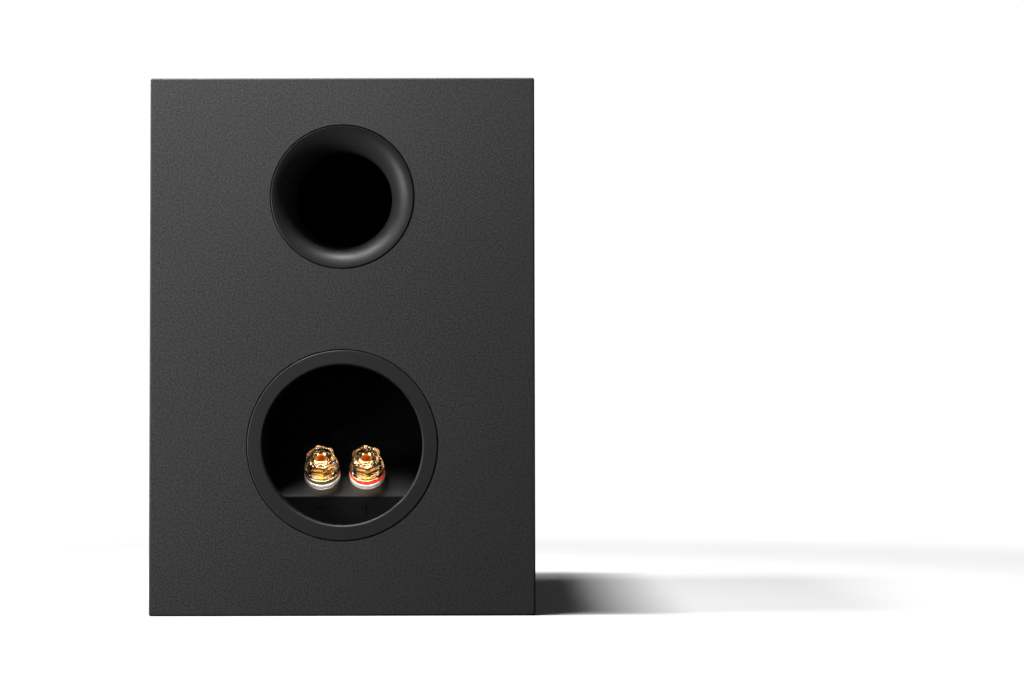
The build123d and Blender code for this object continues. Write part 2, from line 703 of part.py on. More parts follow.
W_FORMER_END_U = 46.0
W_WINDING_U = 35.5
W_FORMER_T = 0.3
voice_coil_former = turned(WOOFER_Z, Y_FACE, ring_outline(
    W_FORMER_R, W_FORMER_R + W_FORMER_T, W_NECK_U, W_FORMER_END_U,
))
save(voice_coil_former, "voice_coil_former")
voice_coil_winding = turned(WOOFER_Z, Y_FACE, ring_outline(
    W_FORMER_R + W_FORMER_T, W_COIL_R, W_WINDING_U, W_FORMER_END_U,
))
save(voice_coil_winding, "voice_coil_winding")

SPIDER_IN_R = 13.3
SPIDER_OUT_R = 43.5
SPIDER_FLAT_R = 40.5
SPIDER_T = 0.5
SPIDER_WAVES = 5
SPIDER_WAVE = 1.2
SPIDER_U = W_LEDGE_U - PLAY
spider_pitch = (SPIDER_FLAT_R - SPIDER_IN_R) / (2 * SPIDER_WAVES)
front_line = [(SPIDER_IN_R, SPIDER_U)]
for k in range(1, 2 * SPIDER_WAVES):
    wave = -SPIDER_WAVE if k % 2 else 0.0
    front_line.append((SPIDER_IN_R + k * spider_pitch, SPIDER_U + wave))
front_line.append((SPIDER_FLAT_R, SPIDER_U))
front_line.append((SPIDER_OUT_R, SPIDER_U))
back_line = [(r, u - SPIDER_T) for r, u in reversed(front_line)]
woofer_spider = turned(WOOFER_Z, Y_FACE, front_line + back_line)
save(woofer_spider, "woofer_spider")

W_MAGNET_U = W_PLATE_U + W_TOP_PLATE
W_BACK_U = W_MAGNET_U + W_MAGNET
W_VENT_R = 4.0
MAGNET_HOLE_R = 18.0
woofer_top_plate = turned(WOOFER_Z, Y_FACE, ring_outline(
    W_GAP_R, W_PLATE_R, W_PLATE_U, W_MAGNET_U,
))
save(woofer_top_plate, "woofer_top_plate")
woofer_magnet = turned(WOOFER_Z, Y_FACE, ring_outline(
    MAGNET_HOLE_R, W_MAGNET_R, W_MAGNET_U, W_BACK_U,
))
save(woofer_magnet, "woofer_magnet")
woofer_pole_plate = turned(WOOFER_Z, Y_FACE, [
    (W_VENT_R, W_PLATE_U), (W_POLE_R, W_PLATE_U), (W_POLE_R, W_BACK_U), (W_PLATE_R, W_BACK_U),
    (W_PLATE_R, W_BACK_U + W_BACK_PLATE), (W_VENT_R, W_BACK_U + W_BACK_PLATE),
])
save(woofer_pole_plate, "woofer_pole_plate")

STRIP_X = 18.0
STRIP_Y = 7.0
STRIP_LOW = 30.0
STRIP_HIGH = 38.0
STRIP_MID_Y = Y_FACE + 31.0
PLATE_BACK_Y = Y_FACE + T_FRAME_T + T_TOP_PLATE + T_MAGNET + T_BACK_PLATE
with BuildPart() as woofer_terminal_strip:
    with Locations((0, STRIP_MID_Y, (STRIP_LOW + STRIP_HIGH) / 2)):
        Box(STRIP_X, STRIP_Y, STRIP_HIGH - STRIP_LOW)
    sink(STRIP_MID_Y - STRIP_Y, [(0, WOOFER_Z)], W_LEDGE_R + W_BASKET_T + SLIP, 2 * STRIP_Y)
save(woofer_terminal_strip, "woofer_terminal_strip")

# ======== Leads ========


BEND_SHARE = 0.45  # how much of the shorter run each bend may take up


def lead(points, radius):
    """One wire, swept along straight runs joined by wide tangent arcs."""
    spots = [Vector(*point) for point in points]
    radii = []
    for before, corner, after in zip(spots, spots[1:], spots[2:]):
        run_in = corner - before
        run_out = after - corner
        half_turn = radians(run_in.get_angle(run_out)) / 2
        radii.append(BEND_SHARE * min(run_in.length, run_out.length) / tan(half_turn))
    with BuildLine() as route:
        FilletPolyline(*spots, radius=radii)
    with BuildSketch(Plane(origin=route.line @ 0, z_dir=route.line % 0)) as section:
        Circle(radius)
    sweep(section.sketch, path=route.line)


def mirrored(points):
    """The same route on the other side of the cabinet."""
    return [(-px, py, pz) for px, py, pz in points]


INPUT_ROUTE = [
    (18.5, 98.4, 54.8), (19.5, 94.5, 45.0), (23.5, 89.0, 35.0), (29.5, 80.0, 29.0),
    (34.0, 72.0, 25.5), (34.0, 72.0, BOARD_TOP),
]
WOOFER_ROUTE = [
    (5.0, 14.0, BOARD_TOP), (5.0, 14.0, 25.0), (5.2, 8.0, 29.5), (5.0, -4.0, 30.5),
    (4.6, -22.0, 27.5), (5.0, -42.0, 25.0), (5.4, -60.0, 23.0), (5.0, -72.0, 22.0),
    (5.0, -77.0, 24.0), (5.0, -77.0, STRIP_LOW),
]
TWEETER_ROUTE = [
    (38.0, 24.0, BOARD_TOP), (38.0, 24.0, 36.0), (38.0, 10.0, 62.0), (36.5, -4.0, 92.0),
    (32.0, -18.0, 122.0), (25.5, -38.0, 148.0), (18.0, -58.0, 168.0), (10.0, -76.0, 179.0),
    (9.0, -82.0, 181.0), (9.0, PLATE_BACK_Y, 181.0),
]
TINSEL_ROUTE = [
    (4.0, -79.4, STRIP_LOW), (4.0, -79.4, 26.4), (4.2, -83.5, 24.0), (4.0, -89.0, 22.6),
    (3.8, -93.0, 27.5), (4.0, -94.0, 36.0), (4.2, -92.4, 44.5), (4.0, -90.6, 52.0),
]
for label, route_points, thickness in (
    ("input_leads", INPUT_ROUTE, LEAD_R),
    ("woofer_leads", WOOFER_ROUTE, LEAD_R),
    ("tweeter_leads", TWEETER_ROUTE, LEAD_R),
    ("woofer_tinsel_leads", TINSEL_ROUTE, LEAD_R / 2),
):
    with BuildPart() as leads:
        lead(route_points, thickness)
        lead(mirrored(route_points), thickness)
    save(leads, label)

# ======== Tweeter ========

T_HORN_U = 1.7  # the horn's inner edge
T_LIP_SEAT_R = 19.2
T_LIP_SEAT_U = 2.3
T_SHELF_R = 17.5  # inside of the shelf that the surround's lip rests on
tweeter_faceplate_outline = [
    (T_MOUTH_R, 0), (T_FRAME_R, 0), (T_FRAME_R, T_FRAME_T), (T_SHELF_R, T_FRAME_T),
    (T_SHELF_R, T_LIP_SEAT_U), (T_LIP_SEAT_R, T_LIP_SEAT_U), (T_LIP_SEAT_R, T_HORN_U),
]
with BuildPart() as tweeter_faceplate:
    add(turned(TWEETER_Z, Y_FACE, tweeter_faceplate_outline).part)
    sink(Y_FACE, screw_places(TWEETER_SCREWS, TWEETER_Z), SCREW_R + SLIP, T_FRAME_T)
    sink(Y_FACE, screw_places(TWEETER_SCREWS, TWEETER_Z), SCREW_HEAD_R + SLIP, SCREW_HEAD)
save(tweeter_faceplate, "tweeter_faceplate")
tweeter_screws = screw_ring(TWEETER_Z, TWEETER_SCREWS)
save(tweeter_screws, "tweeter_screws")

T_ROLL_IN_R = 13.5
tweeter_surround = half_roll(
    TWEETER_Z, T_LIP_SEAT_U - SLIP, T_ROLL_OUT_R, T_ROLL_IN_R,
    T_LIP_R, T_LIP_IN_R, T_SILK, T_SILK,
)
save(tweeter_surround, "tweeter_surround")
tweeter_dome = dome(TWEETER_Z, Y_FACE + T_DOME_U, T_DOME_R, T_DOME_RISE, T_SILK)
save(tweeter_dome, "tweeter_dome")

T_COIL_END_U = 7.6
T_MAGNET_U = T_FRAME_T + T_TOP_PLATE
T_BACK_U = T_MAGNET_U + T_MAGNET
T_MAGNET_HOLE_R = 17.0
T_BACK_R = 26.0
tweeter_voice_coil = turned(TWEETER_Z, Y_FACE, ring_outline(
    T_COIL_IN_R, T_DOME_R, T_DOME_U, T_COIL_END_U,
))
save(tweeter_voice_coil, "tweeter_voice_coil")
tweeter_top_plate = turned(TWEETER_Z, Y_FACE, ring_outline(
    T_GAP_R, T_PLATE_R, T_FRAME_T, T_MAGNET_U,
))
save(tweeter_top_plate, "tweeter_top_plate")
tweeter_magnet = turned(TWEETER_Z, Y_FACE, ring_outline(
    T_MAGNET_HOLE_R, T_PLATE_R, T_MAGNET_U, T_BACK_U,
))
save(tweeter_magnet, "tweeter_magnet")
tweeter_pole_plate = turned(TWEETER_Z, Y_FACE, [
    (0, T_FRAME_T), (T_POLE_R, T_FRAME_T), (T_POLE_R, T_BACK_U), (T_BACK_R, T_BACK_U),
    (T_BACK_R, T_BACK_U + T_BACK_PLATE), (0, T_BACK_U + T_BACK_PLATE),
])
save(tweeter_pole_plate, "tweeter_pole_plate")

# ======== Crossover ========

BOARD_CORNER_R = 3.0
HOLE_X = BOARD_X / 2 - 5.0
HOLE_Y = BOARD_Y / 2 - 5.0
STANDOFF_PLACES = [(x, BOARD_MID_Y + y) for x in (-HOLE_X, HOLE_X) for y in (-HOLE_Y, HOLE_Y)]
with BuildPart() as crossover_standoffs:
    with BuildSketch(Plane.XY.offset(WALL)) as posts:
        with Locations(*STANDOFF_PLACES):
            Circle(STANDOFF_R)
            Circle(SCREW_R, mode=Mode.SUBTRACT)
    extrude(posts.sketch, amount=STANDOFF_H)
save(crossover_standoffs, "crossover_standoffs")

with BuildPart() as crossover_board:
    with BuildSketch(Plane.XY.offset(BOARD_TOP - BOARD_T)):
        with Locations((0, BOARD_MID_Y)):
            RectangleRounded(BOARD_X, BOARD_Y, BOARD_CORNER_R)
        with Locations(*STANDOFF_PLACES):
            Circle(SCREW_R, mode=Mode.SUBTRACT)
    extrude(amount=BOARD_T)
save(crossover_board, "crossover_board")

with BuildPart() as crossover_screws:
    with BuildSketch(Plane.XY.offset(BOARD_TOP)) as heads:
        with Locations(*STANDOFF_PLACES):
            Circle(SCREW_HEAD_R)
    extrude(heads.sketch, amount=SCREW_HEAD)
    with BuildSketch(Plane.XY.offset(WALL)) as shanks:
        with Locations(*STANDOFF_PLACES):
            Circle(SCREW_R - PLAY)
    extrude(shanks.sketch, amount=BOARD_TOP - WALL)
save(crossover_screws, "crossover_screws")


SPOOL_FLANGE = 1.5
SPOOL_STEP = 1.0  # how far the flanges stand out past the winding


def coil(place, radius, height, hole):
    """An air-core choke on a spool: two flanges with the winding between them."""
    top_flange = height - SPOOL_FLANGE
    layers = (
        (0, SPOOL_FLANGE, radius),
        (SPOOL_FLANGE, top_flange, radius - SPOOL_STEP),
        (top_flange, height, radius),
    )
    with BuildPart() as choke:
        for low, high, layer_r in layers:
            with BuildSketch(Plane.XY.offset(BOARD_TOP + low)) as layer:
                with Locations(place):
                    Circle(layer_r)
                    Circle(hole, mode=Mode.SUBTRACT)
            extrude(layer.sketch, amount=high - low)
    return choke


WOOFER_CHOKE_AT = (-20.0, 56.0)
WOOFER_CHOKE_R = 17.0
WOOFER_CHOKE_H = 20.0
WOOFER_CHOKE_HOLE = 7.0
TWEETER_CHOKE_AT = (17.0, 62.0)
TWEETER_CHOKE_R = 12.0
TWEETER_CHOKE_H = 14.0
TWEETER_CHOKE_HOLE = 5.0
save(
    coil(WOOFER_CHOKE_AT, WOOFER_CHOKE_R, WOOFER_CHOKE_H, WOOFER_CHOKE_HOLE), "woofer_choke",
)
save(
    coil(TWEETER_CHOKE_AT, TWEETER_CHOKE_R, TWEETER_CHOKE_H, TWEETER_CHOKE_HOLE),
    "tweeter_choke",
)

CAPACITORS = ((14.0, 24.0, 7.0, 30.0), (-22.0, 24.0, 6.0, 26.0))  # x, y, radius, length
with BuildPart() as crossover_capacitors:
    for x, y, radius, length in CAPACITORS:
        with BuildSketch(Plane.YZ.offset(x - length / 2)) as can:
            with Locations((y, BOARD_TOP + radius)):
                Circle(radius)
        extrude(can.sketch, amount=length)
save(crossover_capacitors, "crossover_capacitors")

RESISTOR_AT = (16.0, 42.0)
RESISTOR_LENGTH = 30.0
RESISTOR_SIDE = 9.0
RESISTOR_EDGE_R = 1.0
with BuildPart() as crossover_resistor:
    with Locations((*RESISTOR_AT, BOARD_TOP + RESISTOR_SIDE / 2)):
        Box(RESISTOR_LENGTH, RESISTOR_SIDE, RESISTOR_SIDE)
    fillet(crossover_resistor.edges().filter_by(Axis.X), RESISTOR_EDGE_R)
save(crossover_resistor, "crossover_resistor")

# ======== Grille ========

G_BACK_Y = Y_FACE - G_GAP
G_FRONT_Y = Y_GRILLE + CLOTH
with BuildPart() as grille_frame:
    with BuildSketch(facing(G_BACK_Y)):
        with Locations((0, HEIGHT / 2)):
            RectangleRounded(WIDTH - 2 * G_FRAME_INSET, HEIGHT - 2 * G_FRAME_INSET, CORNER_R)
        with Locations((0, (G_OPEN_LOW + G_OPEN_HIGH) / 2)):
            RectangleRounded(
                2 * G_OPEN_X, G_OPEN_HIGH - G_OPEN_LOW, G_OPEN_CORNER_R, mode=Mode.SUBTRACT,
            )
    extrude(amount=G_BACK_Y - G_FRONT_Y)
    with Locations((0, G_FRONT_Y + G_BAR_T / 2, G_BAR_Z)):
        Box(2 * (G_OPEN_X + G_BAR_ROOT), G_BAR_T, G_BAR_W)
    with BuildSketch(facing(G_BACK_Y + PEG_LENGTH)) as pegs:
        with Locations(*PEG_PLACES):
            Circle(PEG_R)
    extrude(pegs.sketch, amount=PEG_LENGTH)
    chamfer(grille_frame.edges().filter_by(GeomType.CIRCLE).group_by(Axis.Y)[-1], PEG_BREAK)
save(grille_frame, "grille_frame")

with BuildPart() as grille_cloth:
    with BuildSketch(facing(G_FRONT_Y)):
        with Locations((0, HEIGHT / 2)):
            RectangleRounded(WIDTH, HEIGHT, CORNER_R)
    extrude(amount=CLOTH)
save(grille_cloth, "grille_cloth")

with BuildPart() as grille_sockets:
    with BuildSketch(facing(Y_FACE)) as flanges:
        with Locations(*PEG_PLACES):
            Circle(SOCKET_FLANGE_R)
    extrude(flanges.sketch, amount=-SOCKET_FLANGE)
    with BuildSketch(facing(Y_FACE)) as barrels:
        with Locations(*PEG_PLACES):
            Circle(SOCKET_R)
    extrude(barrels.sketch, amount=-SOCKET_LENGTH)
    sink(Y_FACE, PEG_PLACES, PEG_R + PEG_PLAY, SOCKET_LENGTH - SOCKET_END)
save(grille_sockets, "grille_sockets")
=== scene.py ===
# %% [markdown]
# # A small bookshelf speaker
# The speaker is a black box with a bass port and a cup of binding posts behind, and two drivers
# under a cloth grille in front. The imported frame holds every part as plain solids. This lesson
# gives them their finishes, and makes the parts again whose shape needs more than a plain solid.

# %% Load the frame
import json
from math import atan2, cos, hypot, pi, radians, sin, tau

import bmesh
import bpy
from mathutils import Matrix, Vector
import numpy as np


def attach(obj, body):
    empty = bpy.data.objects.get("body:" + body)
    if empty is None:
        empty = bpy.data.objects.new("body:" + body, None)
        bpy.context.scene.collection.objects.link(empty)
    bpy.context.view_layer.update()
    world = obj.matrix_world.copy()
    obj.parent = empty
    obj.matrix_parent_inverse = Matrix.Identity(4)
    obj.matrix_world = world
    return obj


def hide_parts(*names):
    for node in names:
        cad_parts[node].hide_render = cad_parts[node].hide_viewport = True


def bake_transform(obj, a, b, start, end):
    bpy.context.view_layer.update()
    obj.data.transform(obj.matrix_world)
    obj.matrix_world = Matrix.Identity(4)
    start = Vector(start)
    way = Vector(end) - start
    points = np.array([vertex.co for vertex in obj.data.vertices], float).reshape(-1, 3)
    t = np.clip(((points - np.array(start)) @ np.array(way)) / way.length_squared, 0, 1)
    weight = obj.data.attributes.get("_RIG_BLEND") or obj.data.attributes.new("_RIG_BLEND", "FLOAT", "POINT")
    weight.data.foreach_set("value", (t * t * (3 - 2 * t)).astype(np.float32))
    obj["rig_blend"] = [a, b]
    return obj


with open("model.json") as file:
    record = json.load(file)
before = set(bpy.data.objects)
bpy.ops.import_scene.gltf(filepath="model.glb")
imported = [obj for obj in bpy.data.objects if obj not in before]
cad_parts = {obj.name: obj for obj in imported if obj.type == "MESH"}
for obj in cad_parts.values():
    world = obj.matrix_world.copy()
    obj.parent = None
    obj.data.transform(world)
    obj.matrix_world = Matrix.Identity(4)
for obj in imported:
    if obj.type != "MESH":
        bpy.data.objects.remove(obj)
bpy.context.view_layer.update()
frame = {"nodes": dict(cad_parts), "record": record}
nodes = frame["nodes"]

# %% [markdown]
# Blender counts in metres and the parts are drawn in millimetres, so every length below is given
# in millimetres and multiplied by MM once, where a mesh is made. The axes are the frame's: X
# across, Y from the grille to the back, Z up from the shelf.

# %% Units and the places of the main axes
MM = 0.001
Y_REAR = 120.0
Y_FACE = -108.0
WOOFER_Z = 77.0
TWEETER_Z = 182.0
LEDGE_TILT = 44.0
LEDGE_Y = 103.1
LEDGE_Z = 55.7
POST_UP = 2.64
POST_Y = LEDGE_Y - POST_UP * sin(radians(LEDGE_TILT))
POST_Z = LEDGE_Z + POST_UP * cos(radians(LEDGE_TILT))
POST_X = {"negative": 9.5, "positive": -9.5}
NUT_TURN = {"negative": 45.0, "positive": 37.0}

# a turned piece is spun about its own Z, and these matrices lay that axis where the piece goes
LYING = Matrix.Rotation(radians(-90), 4, "X")
AT_WOOFER = Matrix.Translation((0, 0, WOOFER_Z * MM)) @ LYING
AT_TWEETER = Matrix.Translation((0, 0, TWEETER_Z * MM)) @ LYING
AT_POST = {
    side: Matrix.Translation((x * MM, POST_Y * MM, POST_Z * MM))
    @ Matrix.Rotation(radians(LEDGE_TILT - 90), 4, "X")
    for side, x in POST_X.items()
}
print("posts at x:", POST_X)

# %% [markdown]
# ## Camera
# The camera stands behind the speaker, a little to its side and low, with a long lens. Its three
# axes are worked out from the heading, the pitch and the roll, and become the columns of its
# matrix: right, up and backwards.

# %% Camera
CAMERA_AT = Vector((-0.06818, 1.140, 0.07598))
YAW = radians(-0.155)
PITCH = radians(2.142)
ROLL = radians(-0.121)
ahead = Vector((sin(YAW) * cos(PITCH), -cos(YAW) * cos(PITCH), sin(PITCH)))
level = ahead.cross(Vector((0, 0, 1))).normalized()
upright = level.cross(ahead)
right = cos(ROLL) * level + sin(ROLL) * upright
up = -sin(ROLL) * level + cos(ROLL) * upright

lens = bpy.data.cameras.new("camera")
lens.sensor_fit = "HORIZONTAL"
lens.sensor_width = 36.0
lens.lens = 85.89
lens.clip_start = 0.01
lens.clip_end = 50.0
camera = bpy.data.objects.new("camera", lens)
bpy.context.scene.collection.objects.link(camera)
camera.matrix_world = Matrix(
    [(right[i], up[i], -ahead[i], CAMERA_AT[i]) for i in range(3)] + [(0, 0, 0, 1)]
)
bpy.context.scene.camera = camera
print("camera at", tuple(round(v, 3) for v in CAMERA_AT), "lens", lens.lens)

# %% [markdown]
# ## Node helpers
# Materials are wired by hand in the shader editor, and here by three small functions: one adds a
# node and sets its inputs or links, one gives the output of a Math node, and one opens a new group
# with named inputs and outputs.

# %% Helpers for node trees
def add_node(tree, kind, inputs=(), **settings):
    """A new node of that kind, with its settings and its input values or links."""
    made = tree.nodes.new(kind)
    for key, value in settings.items():
        setattr(made, key, value)
    for key, value in dict(inputs).items():
        if isinstance(value, bpy.types.NodeSocket):
            tree.links.new(value, made.inputs[key])
        else:
            made.inputs[key].default_value = value
    return made


def new_group(name, inputs, outputs):
    """An empty shader group; inputs and outputs are name: (socket type, default)."""
    tree = bpy.data.node_groups.new(name, "ShaderNodeTree")
    for key, (kind, default) in inputs.items():
        socket = tree.interface.new_socket(key, in_out="INPUT", socket_type=kind)
        if default is not None:
            socket.default_value = default
    for key, kind in outputs.items():
        tree.interface.new_socket(key, in_out="OUTPUT", socket_type=kind)
    return tree, tree.nodes.new("NodeGroupInput"), tree.nodes.new("NodeGroupOutput")


def maths(tree, operation, *values, clamp=False):
    """The result of one Math node."""
    made = add_node(tree, "ShaderNodeMath", enumerate(values), operation=operation, use_clamp=clamp)
    return made.outputs[0]


FLOAT = "NodeSocketFloat"
VECTOR = "NodeSocketVector"

# %% [markdown]
# ## Surface patterns
# Most of the finishes share a few effects, so each effect is a node group, made once. The grain
# group is for foil, moulded plastic, paper and paint: fine noise for the tooth of the surface,
# cells for its pits, and a slow noise for the uneven sheen that handling leaves.

# %% Grain group
grain, enter, leave = new_group(
    "grain",
    {"Vector": (VECTOR, None), "Scale": (FLOAT, 1000.0), "Pits": (FLOAT, 0.4)},
    {"Speck": FLOAT, "Height": FLOAT, "Uneven": FLOAT},
)
tooth = add_node(grain, "ShaderNodeTexNoise", {
    "Vector": enter.outputs["Vector"], "Scale": enter.outputs["Scale"], "Detail": 3.0,
    "Roughness": 0.65,
})
pits = add_node(grain, "ShaderNodeTexVoronoi", {
    "Vector": enter.outputs["Vector"], "Scale": enter.outputs["Scale"],
})
slow = add_node(grain, "ShaderNodeTexNoise", {
    "Vector": enter.outputs["Vector"], "Scale": 14.0, "Detail": 4.0,
})
speck = add_node(grain, "ShaderNodeMapRange", {
    "Value": tooth.outputs["Fac"], "From Min": 0.33, "From Max": 0.67,
})
pit_share = maths(grain, "MULTIPLY", pits.outputs["Distance"], enter.outputs["Pits"])
height = maths(grain, "SUBTRACT", speck.outputs[0], pit_share)
grain.links.new(speck.outputs[0], leave.inputs["Speck"])
grain.links.new(height, leave.inputs["Height"])
grain.links.new(slow.outputs["Fac"], leave.inputs["Uneven"])
print("group:", grain.name, len(grain.nodes), "nodes")

# %% [markdown]
# Turned and rolled metal carries fine lines round its axis or along its length. Noise that is
# stretched in one direction gives them: the Stretch input squeezes the coordinates.

# %% Tool-line group
tool_lines, enter, leave = new_group(
    "tool_lines",
    {"Vector": (VECTOR, None), "Scale": (FLOAT, 3000.0), "Stretch": (VECTOR, (0.02, 1.0, 1.0))},
    {"Speck": FLOAT, "Height": FLOAT, "Uneven": FLOAT},
)
squeezed = add_node(tool_lines, "ShaderNodeVectorMath", {
    0: enter.outputs["Vector"], 1: enter.outputs["Stretch"],
}, operation="MULTIPLY")
lines = add_node(tool_lines, "ShaderNodeTexNoise", {
    "Vector": squeezed.outputs[0], "Scale": enter.outputs["Scale"], "Detail": 2.0,
})
blotches = add_node(tool_lines, "ShaderNodeTexNoise", {
    "Vector": enter.outputs["Vector"], "Scale": 160.0, "Detail": 3.0,
})
tool_lines.links.new(lines.outputs["Fac"], leave.inputs["Speck"])
tool_lines.links.new(lines.outputs["Fac"], leave.inputs["Height"])
tool_lines.links.new(blotches.outputs["Fac"], leave.inputs["Uneven"])
print("group:", tool_lines.name, len(tool_lines.nodes), "nodes")

# %% [markdown]
# Cloth is woven from warp and weft. Two sine waves over the cloth's UV map, in metres, make the
# threads, and a checker of their half waves says which one lies on top. Between the threads are
# the pores that let the sound out.

# %% Weave group
weave, enter, leave = new_group(
    "weave",
    {"Vector": (VECTOR, None), "Pitch": (FLOAT, 0.0005)},
    {"Speck": FLOAT, "Height": FLOAT, "Uneven": FLOAT, "Pore": FLOAT},
)
split = add_node(weave, "ShaderNodeSeparateXYZ", {0: enter.outputs["Vector"]})
across = maths(weave, "DIVIDE", split.outputs["X"], enter.outputs["Pitch"])
along = maths(weave, "DIVIDE", split.outputs["Y"], enter.outputs["Pitch"])
warp = maths(weave, "ABSOLUTE", maths(weave, "SINE", maths(weave, "MULTIPLY", across, pi)))
weft = maths(weave, "ABSOLUTE", maths(weave, "SINE", maths(weave, "MULTIPLY", along, pi)))
cell_sum = maths(weave, "ADD", maths(weave, "FLOOR", across), maths(weave, "FLOOR", along))
over = maths(weave, "MODULO", maths(weave, "ABSOLUTE", cell_sum), 2.0)
thread = add_node(weave, "ShaderNodeMix", {"Factor": over, "A": warp, "B": weft}, data_type="FLOAT")
crossing = maths(weave, "MULTIPLY", warp, weft)
pore = maths(weave, "LESS_THAN", maths(weave, "MAXIMUM", warp, weft), 0.34)
fuzz = add_node(weave, "ShaderNodeTexNoise", {
    "Vector": enter.outputs["Vector"], "Scale": 900.0, "Detail": 3.0,
})
weave.links.new(thread.outputs[0], leave.inputs["Height"])
weave.links.new(crossing, leave.inputs["Speck"])
weave.links.new(fuzz.outputs["Fac"], leave.inputs["Uneven"])
weave.links.new(pore, leave.inputs["Pore"])
print("group:", weave.name, len(weave.nodes), "nodes")

# %% [markdown]
# ## Finishes
# One function wires a finish: the pattern's specks mix two tones, its slow unevenness moves the
# roughness between two values, and its height goes through a Bump node. Every number that is the
# same all over sits on the Principled shader's own sockets.

# %% The finish function
finishes = {}


def finish(name, tones, rough, pattern, scale, bump, metallic=0.0, uv=False, inputs=(), sockets=()):
    """A material from a pattern group; rough and tones are the two ends of what the pattern mixes."""
    made = bpy.data.materials.new(name)
    made.use_nodes = True
    tree = made.node_tree
    shader = tree.nodes["Principled BSDF"]
    where = add_node(tree, "ShaderNodeTexCoord").outputs["UV" if uv else "Object"]
    effect = add_node(tree, "ShaderNodeGroup", node_tree=pattern)
    tree.links.new(where, effect.inputs["Vector"])
    effect.inputs[1].default_value = scale
    for key, value in dict(inputs).items():
        effect.inputs[key].default_value = value
    tone = add_node(tree, "ShaderNodeMix", data_type="RGBA")
    tone.inputs[6].default_value = (*tones[0], 1)
    tone.inputs[7].default_value = (*tones[1], 1)
    tree.links.new(effect.outputs["Speck"], tone.inputs[0])
    tree.links.new(tone.outputs[2], shader.inputs["Base Color"])
    gloss = add_node(tree, "ShaderNodeMapRange", {
        "Value": effect.outputs["Uneven"], "From Min": 0.3, "From Max": 0.7,
        "To Min": rough[0], "To Max": rough[1],
    })
    tree.links.new(gloss.outputs[0], shader.inputs["Roughness"])
    relief = add_node(tree, "ShaderNodeBump", {
        "Height": effect.outputs["Height"], "Strength": 1.0, "Distance": bump * MM,
    })
    tree.links.new(relief.outputs[0], shader.inputs["Normal"])
    shader.inputs["Metallic"].default_value = metallic
    for key, value in dict(sockets).items():
        shader.inputs[key].default_value = value
    finishes[name] = made
    return made


def grey(value, tint=(1.0, 1.0, 1.0)):
    """A colour of that linear value."""
    return tuple(value * share for share in tint)


# %% [markdown]
# The cabinet is wrapped in black vinyl foil with a fine, slightly sparkling tooth. The moulded
# parts are smoother and darker, and the label is a dead black print.

# %% Cabinet and moulded plastic finishes
finish("black_vinyl", (grey(0.024), grey(0.068)), (0.46, 0.56), grain, 1300, 0.02,
       sockets={"Specular IOR Level": 0.22})
finish("port_plastic", (grey(0.032), grey(0.038)), (0.44, 0.50), grain, 2600, 0.003,
       sockets={"Specular IOR Level": 0.35})
# A near-black, low-gloss copy of the port's plastic for the inside of the port tube: painted shade.
finish("port_inside", (grey(0.003), grey(0.005)), (0.6, 0.7), grain, 2600, 0.003,
       sockets={"Specular IOR Level": 0.05})
finish("black_plastic", (grey(0.016), grey(0.021)), (0.40, 0.50), grain, 2600, 0.004)
finish("cup_plastic", (grey(0.024), grey(0.030)), (0.42, 0.52), grain, 2600, 0.004,
       sockets={"Specular IOR Level": 0.3})
finish("label_black", (grey(0.002), grey(0.003)), (0.60, 0.70), grain, 3000, 0.002,
       sockets={"Specular IOR Level": 0.1})
finish("grille_plastic", (grey(0.017), grey(0.022)), (0.45, 0.55), grain, 2200, 0.005)
finish("nylon", (grey(0.02), grey(0.026)), (0.40, 0.50), grain, 1800, 0.005)
finish("gasket_foam", (grey(0.012), grey(0.04)), (0.85, 0.95), grain, 1600, 0.06)
finish("red_plastic", ((0.62, 0.004, 0.006), (0.72, 0.010, 0.010)), (0.25, 0.35), grain, 2200, 0.002)
finish("lead_insulation", (grey(0.02), grey(0.03)), (0.35, 0.45), grain, 1500, 0.003)
print("plastics:", sorted(finishes))

# %% [markdown]
# The driver's parts each have their own material: butyl rubber, coated paper pulp, doped silk,
# resin-treated cotton, sintered ferrite, and painted or zinc-plated steel.

# %% Driver and crossover finishes
finish("rubber_surround", (grey(0.016), grey(0.022)), (0.50, 0.62), grain, 1400, 0.006)
finish("paper_cone", (grey(0.030), grey(0.055)), (0.55, 0.70), grain, 700, 0.05, inputs={"Pits": 0.8})
finish("silk_dome", (grey(0.014), grey(0.028)), (0.45, 0.60), grain, 4200, 0.012,
       sockets={"Sheen Weight": 0.2})
finish("spider_cloth", ((0.42, 0.29, 0.12), (0.62, 0.46, 0.22)), (0.8, 0.9), grain, 1500, 0.08)
finish("ferrite", (grey(0.035), grey(0.07)), (0.6, 0.75), grain, 900, 0.03)
finish("black_steel", (grey(0.016), grey(0.022)), (0.35, 0.5), grain, 1300, 0.012)
finish("zinc_steel", (grey(0.50), grey(0.62)), (0.28, 0.42), tool_lines, 2500, 0.003, metallic=1.0)
finish("aluminium_former", (grey(0.58), grey(0.68)), (0.25, 0.35), tool_lines, 3000, 0.002, metallic=1.0)
finish("board_fibre", ((0.22, 0.13, 0.05), (0.36, 0.22, 0.09)), (0.5, 0.65), grain, 600, 0.02)
finish("capacitor_film", ((0.50, 0.26, 0.03), (0.60, 0.34, 0.06)), (0.15, 0.25), grain, 400, 0.01)
finish("cement_white", (grey(0.62), grey(0.78, (1, 0.98, 0.93))), (0.7, 0.85), grain, 1100, 0.05)
finish("wadding", (grey(0.62), grey(0.85)), (0.9, 1.0), grain, 450, 1.2)
finish(
    "copper_winding", ((0.42, 0.13, 0.04), (0.72, 0.30, 0.12)), (0.2, 0.3), tool_lines, 1400, 0.06,
    metallic=1.0, inputs={"Stretch": (0.02, 0.02, 1.0)},
)
